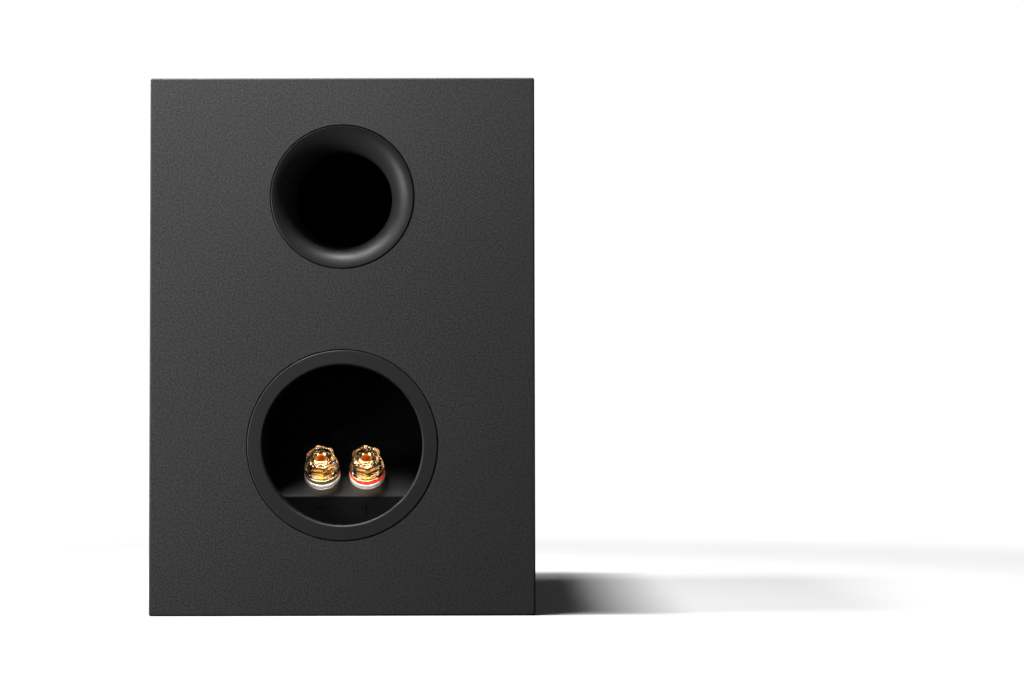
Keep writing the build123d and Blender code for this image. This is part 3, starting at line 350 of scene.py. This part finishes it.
finish(
    "tinsel_braid", ((0.40, 0.25, 0.12), (0.66, 0.46, 0.26)), (0.3, 0.4), grain, 2600, 0.05,
    metallic=1.0,
)
print("finishes so far:", len(finishes))

# %% [markdown]
# The posts are gold-plated brass. The plating is bright and smooth where it was turned, so its
# lines are very faint. The nut's grip is clear polycarbonate: full transmission, a real index of
# refraction, and the faintest waviness from the mould.

# %% Gold and clear plastic
finish(
    "gold", ((0.88, 0.55, 0.20), (0.95, 0.63, 0.26)), (0.12, 0.2), tool_lines, 2200, 0.002,
    metallic=1.0, inputs={"Stretch": (1.0, 0.1, 0.1)},
)
finish(
    "knurled_gold", ((0.92, 0.80, 0.64), (1.0, 0.92, 0.80)), (0.38, 0.50), tool_lines, 2600, 0.002,
    metallic=1.0, inputs={"Stretch": (1.0, 0.1, 0.1)},
)
# The plug socket's bore takes a deeper orange copy of the gold: a painted reflection of the light bounced
# between the bore's gold walls.
finish(
    "socket_gold", ((0.95, 0.42, 0.05), (1.0, 0.55, 0.09)), (0.48, 0.60), tool_lines, 1800, 0.004,
    metallic=1.0, inputs={"Stretch": (1.0, 0.1, 0.1)},
)
finish(
    "clear_plastic", (grey(0.95, (1.0, 0.96, 0.97)), grey(1.0, (1.0, 0.97, 0.98))), (0.02, 0.06), grain,
    260, 0.004, sockets={"Transmission Weight": 1.0, "IOR": 1.58},
)
print("gold and clear plastic made")

# %% [markdown]
# The grille cloth is a black plain weave. The weave group's Pore output makes the pores
# see-through by way of the Alpha socket.

# %% Grille cloth
cloth = finish(
    "grille_cloth", (grey(0.008), grey(0.030)), (0.75, 0.9), weave, 0.00055, 0.12, uv=True,
    sockets={"Sheen Weight": 0.3},
)
wiring = cloth.node_tree
weaving = next(n for n in wiring.nodes if n.type == "GROUP")
solid_share = maths(wiring, "SUBTRACT", 1.0, weaving.outputs["Pore"])
wiring.links.new(solid_share, wiring.nodes["Principled BSDF"].inputs["Alpha"])
print("grille cloth weave pitch in mm:", 0.55)

# %% [markdown]
# Of each pair of leads, the one on the positive side is red and the other black. The side is read
# from the X of the object's own coordinates, so one finish serves them both.

# %% Two-coloured leads
lead_tree = finishes["lead_insulation"].node_tree
lead_shader = lead_tree.nodes["Principled BSDF"]
lead_place = next(n for n in lead_tree.nodes if n.type == "TEX_COORD")
lead_split = add_node(lead_tree, "ShaderNodeSeparateXYZ", {0: lead_place.outputs["Object"]})
positive_side = maths(lead_tree, "LESS_THAN", lead_split.outputs["X"], 0.0)
black_tone = lead_shader.inputs["Base Color"].links[0].from_socket
two_tone = add_node(lead_tree, "ShaderNodeMix", data_type="RGBA")
lead_tree.links.new(positive_side, two_tone.inputs[0])
lead_tree.links.new(black_tone, two_tone.inputs[6])
two_tone.inputs[7].default_value = (0.55, 0.02, 0.02, 1)
lead_tree.links.new(two_tone.outputs[2], lead_shader.inputs["Base Color"])

# %% [markdown]
# The cup is one moulding, satin all over like the port's. Inside its recess the colour is painted
# far darker, as painted shade for the light that the cup's lip keeps out. The distance from the
# cup's own axis, which a Mapping node moves to the origin, tells the two apart.

# %% Painted shade in the cup's recess
CUP_Z = 71.0
SHADED_RECESS_R = 33.6
cup_tree = finishes["cup_plastic"].node_tree
cup_shader = cup_tree.nodes["Principled BSDF"]
cup_place = next(n for n in cup_tree.nodes if n.type == "TEX_COORD")
about_axis = add_node(cup_tree, "ShaderNodeMapping", {
    "Vector": cup_place.outputs["Object"], "Location": (0.0, 0.0, -CUP_Z * MM),
    "Scale": (1.0, 0.0, 1.0),
})
from_axis = add_node(cup_tree, "ShaderNodeVectorMath", {0: about_axis.outputs[0]}, operation="LENGTH")
outside_painted_shade = add_node(cup_tree, "ShaderNodeMapRange", {
    "Value": from_axis.outputs["Value"], "From Min": SHADED_RECESS_R * MM, "From Max": (SHADED_RECESS_R + 0.6) * MM,
})
satin_tone = cup_shader.inputs["Base Color"].links[0].from_socket
cup_tone_with_painted_shade = add_node(cup_tree, "ShaderNodeMix", data_type="RGBA")
cup_tree.links.new(outside_painted_shade.outputs[0], cup_tone_with_painted_shade.inputs[0])
# painted shade: inside the recess the satin tone gives way to an almost black one
cup_tone_with_painted_shade.inputs[6].default_value = (*grey(0.0055), 1)
cup_tree.links.new(satin_tone, cup_tone_with_painted_shade.inputs[7])
cup_tree.links.new(cup_tone_with_painted_shade.outputs[2], cup_shader.inputs["Base Color"])
# the darker tone inside this radius is painted shade
print("recess polished inside a radius of mm:", SHADED_RECESS_R)

# %% [markdown]
# Every solid of the frame gets the finish of its material slot. Their meshes are already exact
# and smooth, so the ones that aren't made again below only need this.

# %% Finishes on the frame's own solids
for part in frame["record"]["subparts"]:
    solid = nodes[part["node"]]
    solid.data.materials.clear()
    solid.data.materials.append(finishes[part["material_slot"]])
# the port tube takes the near-black copy of the port's plastic as painted shade
nodes["port_tube"].data.materials[0] = finishes["port_inside"]
# the cup's finish carries the painted shade of its recess
nodes["terminal_cup"].data.materials[0] = finishes["cup_plastic"]

# %% [markdown]
# ## Turned pieces
# A lathe turns a bar into anything round. Here a section in the X-Z plane is spun about Z. Each
# corner is (radius, height) or (radius, height, rounding); the roundings are vertex bevels, made
# before the spin, so that every edge of the finished piece catches the light.

# %% Spinning and finishing helpers
def spun(corners, steps=128):
    """A closed shape spun about Z from a section's corners, in millimetres."""
    shape = bmesh.new()
    points = [shape.verts.new((corner[0] * MM, 0, corner[1] * MM)) for corner in corners]
    hollow = corners[0][0] > 0
    for near, far in zip(points, points[1:] + points[:1] if hollow else points[1:]):
        shape.edges.new((near, far))
    for size in sorted({corner[2] for corner in corners if len(corner) == 3}):
        rounded = [p for p, corner in zip(points, corners) if len(corner) == 3 and corner[2] == size]
        bmesh.ops.bevel(
            shape, geom=rounded, offset=size * MM, offset_type="OFFSET", segments=4,
            profile=0.5, affect="VERTICES", material=-1,
        )
    bmesh.ops.spin(
        shape, geom=shape.verts[:] + shape.edges[:], cent=(0, 0, 0), axis=(0, 0, 1),
        angle=tau, steps=steps, use_merge=True,
    )
    bmesh.ops.remove_doubles(shape, verts=shape.verts, dist=1e-7)
    bmesh.ops.recalc_face_normals(shape, faces=shape.faces)
    return shape


def make_piece(name, shape, place, look, sharp=40.0):
    """An object at the origin whose mesh is the shape, moved to its place."""
    shape.transform(place)
    open_edges = sum(not edge.is_manifold for edge in shape.edges)
    mesh = bpy.data.meshes.new(name)
    shape.to_mesh(mesh)
    shape.free()
    mesh.shade_smooth()
    mesh.set_sharp_from_angle(angle=radians(sharp))
    mesh.materials.append(look)
    piece = bpy.data.objects.new(name, mesh)
    bpy.context.scene.collection.objects.link(piece)
    print(name, len(mesh.polygons), "faces, open edges:", open_edges)
    return piece


def fit_piece(piece, body, slot, *replaced):
    """Let the piece ride on its body and stand for its solids; slot is not used."""
    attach(piece, body)
    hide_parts(*replaced)
    return piece


# %% [markdown]
# ## Binding posts
# Each post starts with a knurled collar, which screws down on the cup's ledge. Knurling is a row
# of fine ridges pressed in round the rim. The collar is spun with four steps to a ridge, and then
# its rim's vertices move in and out by a cosine of the angle.

# %% Knurled collars
COLLAR_R = 7.6
COLLAR_TOP = 2.6
RIDGES = 60
RIDGE_DEPTH = 0.22
THREAD_R = 3.65

for side in POST_X:
    collar = spun([
        (THREAD_R, 0.0), (COLLAR_R, 0.0, 0.35), (COLLAR_R, COLLAR_TOP, 0.45),
        (THREAD_R, COLLAR_TOP),
    ], steps=RIDGES * 4)
    for vert in collar.verts:
        reach = hypot(vert.co.x, vert.co.y)
        if reach > (COLLAR_R - 0.2) * MM:
            wave = 0.5 - 0.5 * cos(RIDGES * atan2(vert.co.y, vert.co.x))
            share = 1 - wave * RIDGE_DEPTH * MM / reach
            vert.co.x *= share
            vert.co.y *= share
    fit_piece(
        make_piece(f"{side}_collar", collar, AT_POST[side], finishes["knurled_gold"], sharp=60),
        "cabinet", "gold", f"{side}_base_collar",
    )

# %% [markdown]
# On the collar sits a coloured ring, black or red, and on that the loose gold washer that
# presses the bare wire. Both are plain turned rings with softened edges.

# %% Colour rings and washers
RING_R = 7.4
RING_TOP = 4.1
WASHER_R = 7.3
WASHER_LOW = 4.15
WASHER_TOP = 4.9
WASHER_BORE_R = 3.75

for side, look in (("negative", "black_plastic"), ("positive", "red_plastic")):
    ring = spun([
        (THREAD_R, COLLAR_TOP), (RING_R, COLLAR_TOP, 0.2), (RING_R, RING_TOP, 0.25),
        (THREAD_R, RING_TOP),
    ])
    fit_piece(
        make_piece(f"{side}_ring", ring, AT_POST[side], finishes[look]),
        "cabinet", look, f"{side}_colour_ring",
    )
    washer = spun([
        (WASHER_BORE_R, WASHER_LOW), (WASHER_R, WASHER_LOW, 0.15), (WASHER_R, WASHER_TOP, 0.2),
        (WASHER_BORE_R, WASHER_TOP),
    ])
    fit_piece(
        make_piece(f"{side}_washer", washer, AT_POST[side], finishes["gold"]),
        f"{side}_washer", "gold", f"{side}_clamp_washer",
    )

# %% [markdown]
# The nut is one clear moulding: a round flange, a six-sided grip that tapers outwards, and a
# round mouth. It is spun round first. Then each ring of the grip is pinched to a hexagon: a
# point's distance from the axis becomes that of the flat side in its direction, and never more
# than a little under the corner's, which leaves the corners round.

# %% Clear nuts
HEX = 60.0
NUT_LOW = 4.95
FLANGE_TOP = 6.6
GRIP_LOW = 6.9
NUT_TIP = 12.9
MOUTH_FLOOR = 10.9
MOUTH_R = 4.7
CORNER_LOW = 7.3
CORNER_HIGH = 6.5
CORNER_SHARE = 0.975
GRIP_ROWS = 4


def pinch(shape, turn, low, high, inner, corner_low, corner_high, corner_share):
    """Press the outer rings between two heights into a hexagon turned by that many degrees."""
    for vert in shape.verts:
        reach = hypot(vert.co.x, vert.co.y) / MM
        rise = vert.co.z / MM
        if low - 1e-4 <= rise <= high + 1e-4 and reach > inner:
            across = (atan2(vert.co.y, vert.co.x) / radians(1) - turn) % HEX - HEX / 2
            corner = corner_low + (corner_high - corner_low) * (rise - low) / (high - low)
            flat = corner * cos(radians(HEX / 2)) / cos(radians(across))
            wanted = min(flat, corner * corner_share) * reach / corner
            vert.co.x *= wanted / reach
            vert.co.y *= wanted / reach


for side in POST_X:
    grip = [
        (CORNER_LOW + (CORNER_HIGH - CORNER_LOW) * row / GRIP_ROWS,
         GRIP_LOW + (NUT_TIP - GRIP_LOW) * row / GRIP_ROWS)
        for row in range(GRIP_ROWS)
    ]
    nut = spun([
        (4.2, NUT_LOW), (7.3, NUT_LOW, 0.35), (7.3, FLANGE_TOP, 0.4), *grip,
        (CORNER_HIGH, NUT_TIP, 0.6), (MOUTH_R, NUT_TIP, 0.3), (MOUTH_R, MOUTH_FLOOR),
        (4.2, MOUTH_FLOOR),
    ], steps=192)
    pinch(nut, NUT_TURN[side], GRIP_LOW, NUT_TIP, 5.0, CORNER_LOW, CORNER_HIGH, CORNER_SHARE)
    fit_piece(
        make_piece(f"{side}_nut_grip", nut, AT_POST[side], finishes["clear_plastic"], sharp=28),
        f"{side}_nut", "clear_plastic", f"{side}_nut_shell",
    )

# %% [markdown]
# Moulded into the nut is a six-sided gold core with the thread in it. Its facets show through the
# clear grip, so it is spun and pinched in the same way as the nut, with sharper corners.

# %% Gold cores
CORE_R = 4.95
CORE_LOW = 5.7
CORE_HIGH = 10.95
BORE_R = 3.7
for side in POST_X:
    core = spun([
        (BORE_R, CORE_LOW), (CORE_R, CORE_LOW, 0.25), (CORE_R, CORE_HIGH, 0.25),
        (BORE_R, CORE_HIGH, 0.2),
    ], steps=96)
    pinch(core, NUT_TURN[side], CORE_LOW, CORE_HIGH, 4.2, CORE_R, CORE_R, 0.985)
    fit_piece(
        make_piece(f"{side}_nut_core", core, AT_POST[side], finishes["gold"], sharp=25),
        f"{side}_nut", "gold", f"{side}_nut_insert",
    )

# %% [markdown]
# The stud is fixed to the cup. It carries the thread that the nut runs on, a socket for a 4 mm
# plug in its end, and a plain shank through the ledge. The thread is a row of grooves in the
# section, a millimetre apart.

# %% Threaded studs
PITCH = 1.0
THREAD_ROOT = 3.38
THREADS = 7
STUD_TIP = 12.2
SOCKET_R = 2.0
SOCKET_FLOOR = STUD_TIP - 15.0
SHANK_R = 3.0
SHANK_END = -12.0
for side in POST_X:
    outline = [
        (0.0, SOCKET_FLOOR), (SOCKET_R, SOCKET_FLOOR), (SOCKET_R, STUD_TIP - 0.4),
        (SOCKET_R + 0.45, STUD_TIP), (THREAD_R - 0.4, STUD_TIP, 0.12), (THREAD_R, STUD_TIP - 0.4),
    ]
    for turn in range(THREADS):
        top = STUD_TIP - 0.7 - turn * PITCH
        outline += [
            (THREAD_R, top), (THREAD_ROOT, top - 0.4), (THREAD_ROOT, top - 0.55),
            (THREAD_R, top - 0.95),
        ]
    outline += [
        (THREAD_R, 0.0), (SHANK_R, 0.0), (SHANK_R, SHANK_END + 0.4), (SHANK_R - 0.4, SHANK_END),
        (0.0, SHANK_END),
    ]
    stud_shape = spun(outline, steps=96)
    # faces inside the socket take the deeper orange gold, a painted reflection of light bounced in the bore
    for face in stud_shape.faces:
        middle = face.calc_center_median()
        bored = hypot(middle.x, middle.y) < (SOCKET_R + 0.05) * MM and middle.z > (SOCKET_FLOOR - 0.1) * MM
        face.material_index = 1 if bored else 0
    stud = make_piece(f"{side}_stud", stud_shape, AT_POST[side], finishes["gold"])
    stud.data.materials.append(finishes["socket_gold"])
    fit_piece(stud, "cabinet", "gold", f"{side}_post_stud")

# %% [markdown]
# ## Driver suspensions
# A cone hangs in its basket by two flexible rings: the rubber surround at its rim, and the
# corrugated spider at its neck. Both are fixed outside and move inside, so they bend across the
# cone's joint. A blend runs along a straight line, and these bend along every radius, so the
# share of each point is set again from its distance to the axis.

# %% Suspension helpers
def roll_outline(back, r_out, r_in, lip_out, lip_in, skin, lip, steps=16):
    """A half-roll surround's section: two flat lips, and an arch that stands forwards."""
    mid = (r_out + r_in) / 2
    arch = (r_out - r_in) / 2
    turns = [pi * step / steps for step in range(steps + 1)]
    front = [(mid + arch * cos(a), back - lip - arch * sin(a)) for a in turns]
    inside = [(mid - (arch - skin) * cos(a), back - (arch - skin) * sin(a)) for a in turns]
    return [(lip_out, back), (lip_out, back - lip), *front, (lip_in, back - lip), (lip_in, back),
            *inside]


def blend_ring(piece, body, centre_z, fixed_r, moving_r):
    """Let a ring stay with the cabinet outside fixed_r and follow the body inside moving_r."""
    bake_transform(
        piece, "cabinet", body,
        start=(fixed_r * MM, Y_FACE * MM, centre_z * MM), end=(moving_r * MM, Y_FACE * MM, centre_z * MM),
    )
    shares = piece.data.attributes["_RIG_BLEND"].data
    for share, vert in zip(shares, piece.data.vertices):
        reach = hypot(vert.co.x, vert.co.z - centre_z * MM) / MM
        inwards = min(max((fixed_r - reach) / (fixed_r - moving_r), 0.0), 1.0)
        share.value = inwards * inwards * (3 - 2 * inwards)


# %% Woofer surround and spider
surround = make_piece(
    "woofer_rubber_roll",
    spun(roll_outline(Y_FACE + 1.15, 55.0, 46.5, 61.1, 43.6, 0.8, 0.9), steps=192),
    AT_WOOFER, finishes["rubber_surround"],
)
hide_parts("woofer_surround")
blend_ring(surround, "woofer_cone_assembly", WOOFER_Z, 55.0, 46.5)

SPIDER_IN_R = 13.3
SPIDER_FLAT_R = 40.5
SPIDER_OUT_R = 43.5
SPIDER_Y = Y_FACE + 25.95
SPIDER_T = 0.5
SPIDER_WAVE = 0.6
SPIDER_WAVES = 5
SPIDER_STEPS = 60
waves = []
for step in range(SPIDER_STEPS + 1):
    along = step / SPIDER_STEPS
    rise = SPIDER_WAVE * (1 - cos(tau * SPIDER_WAVES * along))
    waves.append((SPIDER_IN_R + (SPIDER_FLAT_R - SPIDER_IN_R) * along, SPIDER_Y - rise))
waves.append((SPIDER_OUT_R, SPIDER_Y))
front_side = [(r, y - SPIDER_T) for r, y in reversed(waves)]
spider = make_piece(
    "woofer_cloth_spider", spun(waves + front_side, steps=128), AT_WOOFER, finishes["spider_cloth"],
)
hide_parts("woofer_spider")
blend_ring(spider, "woofer_cone_assembly", WOOFER_Z, SPIDER_FLAT_R, SPIDER_IN_R + 0.5)

# %% [markdown]
# The tweeter's dome hangs in a small silk roll, made in the same way. The woofer's tinsel leads
# are braided wires that flex with the cone, so they are copies of the frame's two wires, blended
# from the terminal strip to the cone.

# %% Tweeter surround and tinsel leads
silk_roll = make_piece(
    "tweeter_silk_roll",
    spun(roll_outline(Y_FACE + 2.2, 17.0, 13.5, 19.0, 13.0, 0.4, 0.4), steps=128),
    AT_TWEETER, finishes["silk_dome"],
)
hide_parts("tweeter_surround")
blend_ring(silk_roll, "tweeter_dome_assembly", TWEETER_Z, 17.0, 13.5)

wires = bmesh.new()
wires.from_mesh(nodes["woofer_tinsel_leads"].data)
bmesh.ops.remove_doubles(wires, verts=wires.verts, dist=1e-7)
tinsel = make_piece("woofer_tinsel_wires", wires, Matrix.Identity(4), finishes["tinsel_braid"])
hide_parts("woofer_tinsel_leads")
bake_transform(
    tinsel, "cabinet", "woofer_cone_assembly",
    start=(0.0, -0.092, 0.030), end=(0.0, -0.0906, 0.052),
)

# %% [markdown]
# ## Grille cloth
# The cloth is one sheet stretched over the front of the grille's frame, wrapped round its four
# sides and glued to its back. A box without its back face gives the front and the sides. The
# rim is extruded inwards for the hem, the corners are bevelled, and Solidify gives the cloth its
# thickness. Its UV map is in metres, laid on by the way each face looks, for the weave.

# %% Grille cloth
CLOTH_W = 161.0
CLOTH_H = 225.0
CLOTH_FRONT = -120.0
CLOTH_BACK = -108.12
CLOTH_T = 0.35
CLOTH_BEND = 1.2
HEM = 6.0
sheet_shape = bmesh.new()
bmesh.ops.create_cube(sheet_shape, size=MM)
bmesh.ops.scale(
    sheet_shape, vec=(CLOTH_W, CLOTH_BACK - CLOTH_FRONT, CLOTH_H), verts=sheet_shape.verts,
)
bmesh.ops.translate(
    sheet_shape, vec=(0, (CLOTH_BACK + CLOTH_FRONT) / 2 * MM, CLOTH_H / 2 * MM),
    verts=sheet_shape.verts,
)
back_faces = [face for face in sheet_shape.faces if face.normal.y > 0.9]
bmesh.ops.delete(sheet_shape, geom=back_faces, context="FACES_ONLY")
bmesh.ops.bevel(
    sheet_shape, geom=[edge for edge in sheet_shape.edges if len(edge.link_faces) == 2],
    offset=CLOTH_BEND * MM, offset_type="OFFSET", segments=5, profile=0.5, affect="EDGES",
    material=-1,
)
rim = [edge for edge in sheet_shape.edges if len(edge.link_faces) == 1]
turned_in = bmesh.ops.extrude_edge_only(sheet_shape, edges=rim)["geom"]
for vert in (item for item in turned_in if isinstance(item, bmesh.types.BMVert)):
    vert.co.x -= HEM * MM * (1 if vert.co.x > 0 else -1)
    vert.co.z -= HEM * MM * (1 if vert.co.z > CLOTH_H / 2 * MM else -1)
bmesh.ops.recalc_face_normals(sheet_shape, faces=sheet_shape.faces)
uv_map = sheet_shape.loops.layers.uv.new("cloth")
for face in sheet_shape.faces:
    facing = max(range(3), key=lambda axis: abs(face.normal[axis]))
    flat_axes = [axis for axis in range(3) if axis != facing]
    for loop in face.loops:
        loop[uv_map].uv = [loop.vert.co[axis] for axis in flat_axes]
cloth_area = sum(face.calc_area() for face in sheet_shape.faces)
cloth_piece = make_piece("grille_fabric", sheet_shape, Matrix.Identity(4), cloth)
if cloth_piece.data.polygons[0].normal.y > 0.9:
    cloth_piece.data.flip_normals()
thickness = cloth_piece.modifiers.new("thickness", "SOLIDIFY")
thickness.thickness = CLOTH_T * MM
thickness.offset = -1.0
fit_piece(cloth_piece, "grille", "grille_cloth", "grille_cloth")

# %% [markdown]
# ## Light and floor
# The speaker stands on a pale floor in a white studio, under a large soft light above its left
# side and smaller ones above and behind. The floor is a plain pale sheet near the speaker and
# fades into the white of the room further out, so no edge of it shows. Only the camera sees it
# bright, because so black a cabinet would show every glow that it throws back.

# %% World
world = bpy.data.worlds.new("studio")
bpy.context.scene.world = world
world.use_nodes = True
sky = world.node_tree
sky_out = next(n for n in sky.nodes if n.type == "OUTPUT_WORLD")
seen = add_node(sky, "ShaderNodeBackground", {"Color": (1, 1, 1, 1), "Strength": 1.05})
felt = add_node(sky, "ShaderNodeBackground", {"Color": (1, 1, 1, 1), "Strength": 0.05})
ray = add_node(sky, "ShaderNodeLightPath")
both = add_node(sky, "ShaderNodeMixShader", {
    0: ray.outputs["Is Camera Ray"], 1: felt.outputs[0], 2: seen.outputs[0],
})
sky.links.new(both.outputs[0], sky_out.inputs["Surface"])
bpy.context.scene.view_settings.view_transform = "Standard"


# %% Lights
def soft_light(name, place, target, size, watts, tint=(1, 1, 1)):
    """A square area light at a place, turned to a target; the camera doesn't see it."""
    lamp = bpy.data.lights.new(name, "AREA")
    lamp.shape = "RECTANGLE"
    lamp.size, lamp.size_y = size
    lamp.energy = watts
    lamp.color = tint
    holder = bpy.data.objects.new(name, lamp)
    bpy.context.scene.collection.objects.link(holder)
    holder.location = place
    holder.rotation_euler = (Vector(target) - Vector(place)).to_track_quat("-Z", "Y").to_euler()
    holder.visible_camera = False
    return holder


def only_for(holder, receivers):
    """Let a light fall on these objects only."""
    group = bpy.data.collections.new(f"{holder.name}_receivers")
    for item in receivers:
        group.objects.link(item)
    holder.light_linking.receiver_collection = group


soft_light("key", (0.75, 0.13, 1.3), (0.0, 0.0, 0.0), (0.5, 0.3), 14.0)
soft_light("overhead", (0.08, 0.16, 1.05), (0.0, 0.0, 0.0), (0.20, 0.10), 12.0)

# %% [markdown]
# Two more sets of lights belong to the object alone. The polished posts sit in a dark cup, where
# metal and clear plastic have nothing bright to mirror, so soft cards round the camera shine on
# them and on nothing else. Two small lights graze the back from above and from the left, and the
# fill in front shows the grille and the drivers; all three leave the floor's shadow as it is.
# The port's flare curves up into the steepest light, so that one passes it by.

# %% Cards for the posts and a fill for the front
object_meshes = [item for item in bpy.data.objects if item.type == "MESH"]
post_meshes = [item for item in object_meshes if item.name.startswith(tuple(POST_X))]
POSTS_AT = (0.0, 0.108, 0.062)
for name, place, size, watts in (
    ("card_left", (0.30, 0.42, 0.12), (0.16, 0.34), 1.6),
    ("card_right", (-0.36, 0.42, 0.10), (0.10, 0.30), 1.2),
    ("card_top", (0.0, 0.42, 0.42), (0.20, 0.14), 2.0),
    ("card_low", (0.02, 0.20, 0.012), (0.24, 0.03), 0.5),
):
    only_for(soft_light(name, place, POSTS_AT, size, watts), post_meshes)
flat_meshes = [item for item in object_meshes if item != nodes["port_flare"]]
for name, place, target, size, watts, lit in (
    ("graze_top", (0.10, 0.22, 0.46), (0.0, 0.12, 0.15), 0.12, 1.9, flat_meshes),
    ("graze_left", (0.36, 0.25, 0.12), (0.08, 0.12, 0.10), 0.15, 1.3, object_meshes),
    ("front_fill", (0.5, -1.2, 0.8), (0.0, -0.1, 0.1), 0.8, 9.0, object_meshes),
):
    only_for(soft_light(name, place, target, (size, size), watts), lit)

# %% Floor
floor_shape = bmesh.new()
bmesh.ops.create_circle(floor_shape, cap_ends=True, radius=6.0, segments=64)
floor_mesh = bpy.data.meshes.new("floor")
floor_shape.to_mesh(floor_mesh)
floor_shape.free()
floor_look = bpy.data.materials.new("floor_paper")
floor_look.use_nodes = True
paper = floor_look.node_tree
paper_out = next(n for n in paper.nodes if n.type == "OUTPUT_MATERIAL")
paper_shader = paper.nodes["Principled BSDF"]
paper_shader.inputs["Base Color"].default_value = (0.9, 0.9, 0.9, 1)
paper_shader.inputs["Roughness"].default_value = 0.9
place_on_floor = add_node(paper, "ShaderNodeTexCoord").outputs["Object"]
distance = add_node(paper, "ShaderNodeVectorMath", {0: place_on_floor}, operation="LENGTH")
fade = add_node(paper, "ShaderNodeMapRange", {
    "Value": distance.outputs["Value"], "From Min": 0.34, "From Max": 0.75,
}, interpolation_type="SMOOTHSTEP")
glow = add_node(paper, "ShaderNodeEmission", {"Strength": 1.05})
mixed = add_node(paper, "ShaderNodeMixShader", {
    0: fade.outputs[0], 1: paper_shader.outputs[0], 2: glow.outputs[0],
})
unlit = add_node(paper, "ShaderNodeBsdfDiffuse", {"Color": (0.05, 0.05, 0.05, 1)})
floor_ray = add_node(paper, "ShaderNodeLightPath")
seen_floor = add_node(paper, "ShaderNodeMixShader", {
    0: floor_ray.outputs["Is Camera Ray"], 1: unlit.outputs[0], 2: mixed.outputs[0],
})
paper.links.new(seen_floor.outputs[0], paper_out.inputs["Surface"])
floor_mesh.materials.append(floor_look)
floor = bpy.data.objects.new("floor", floor_mesh)
bpy.context.scene.collection.objects.link(floor)
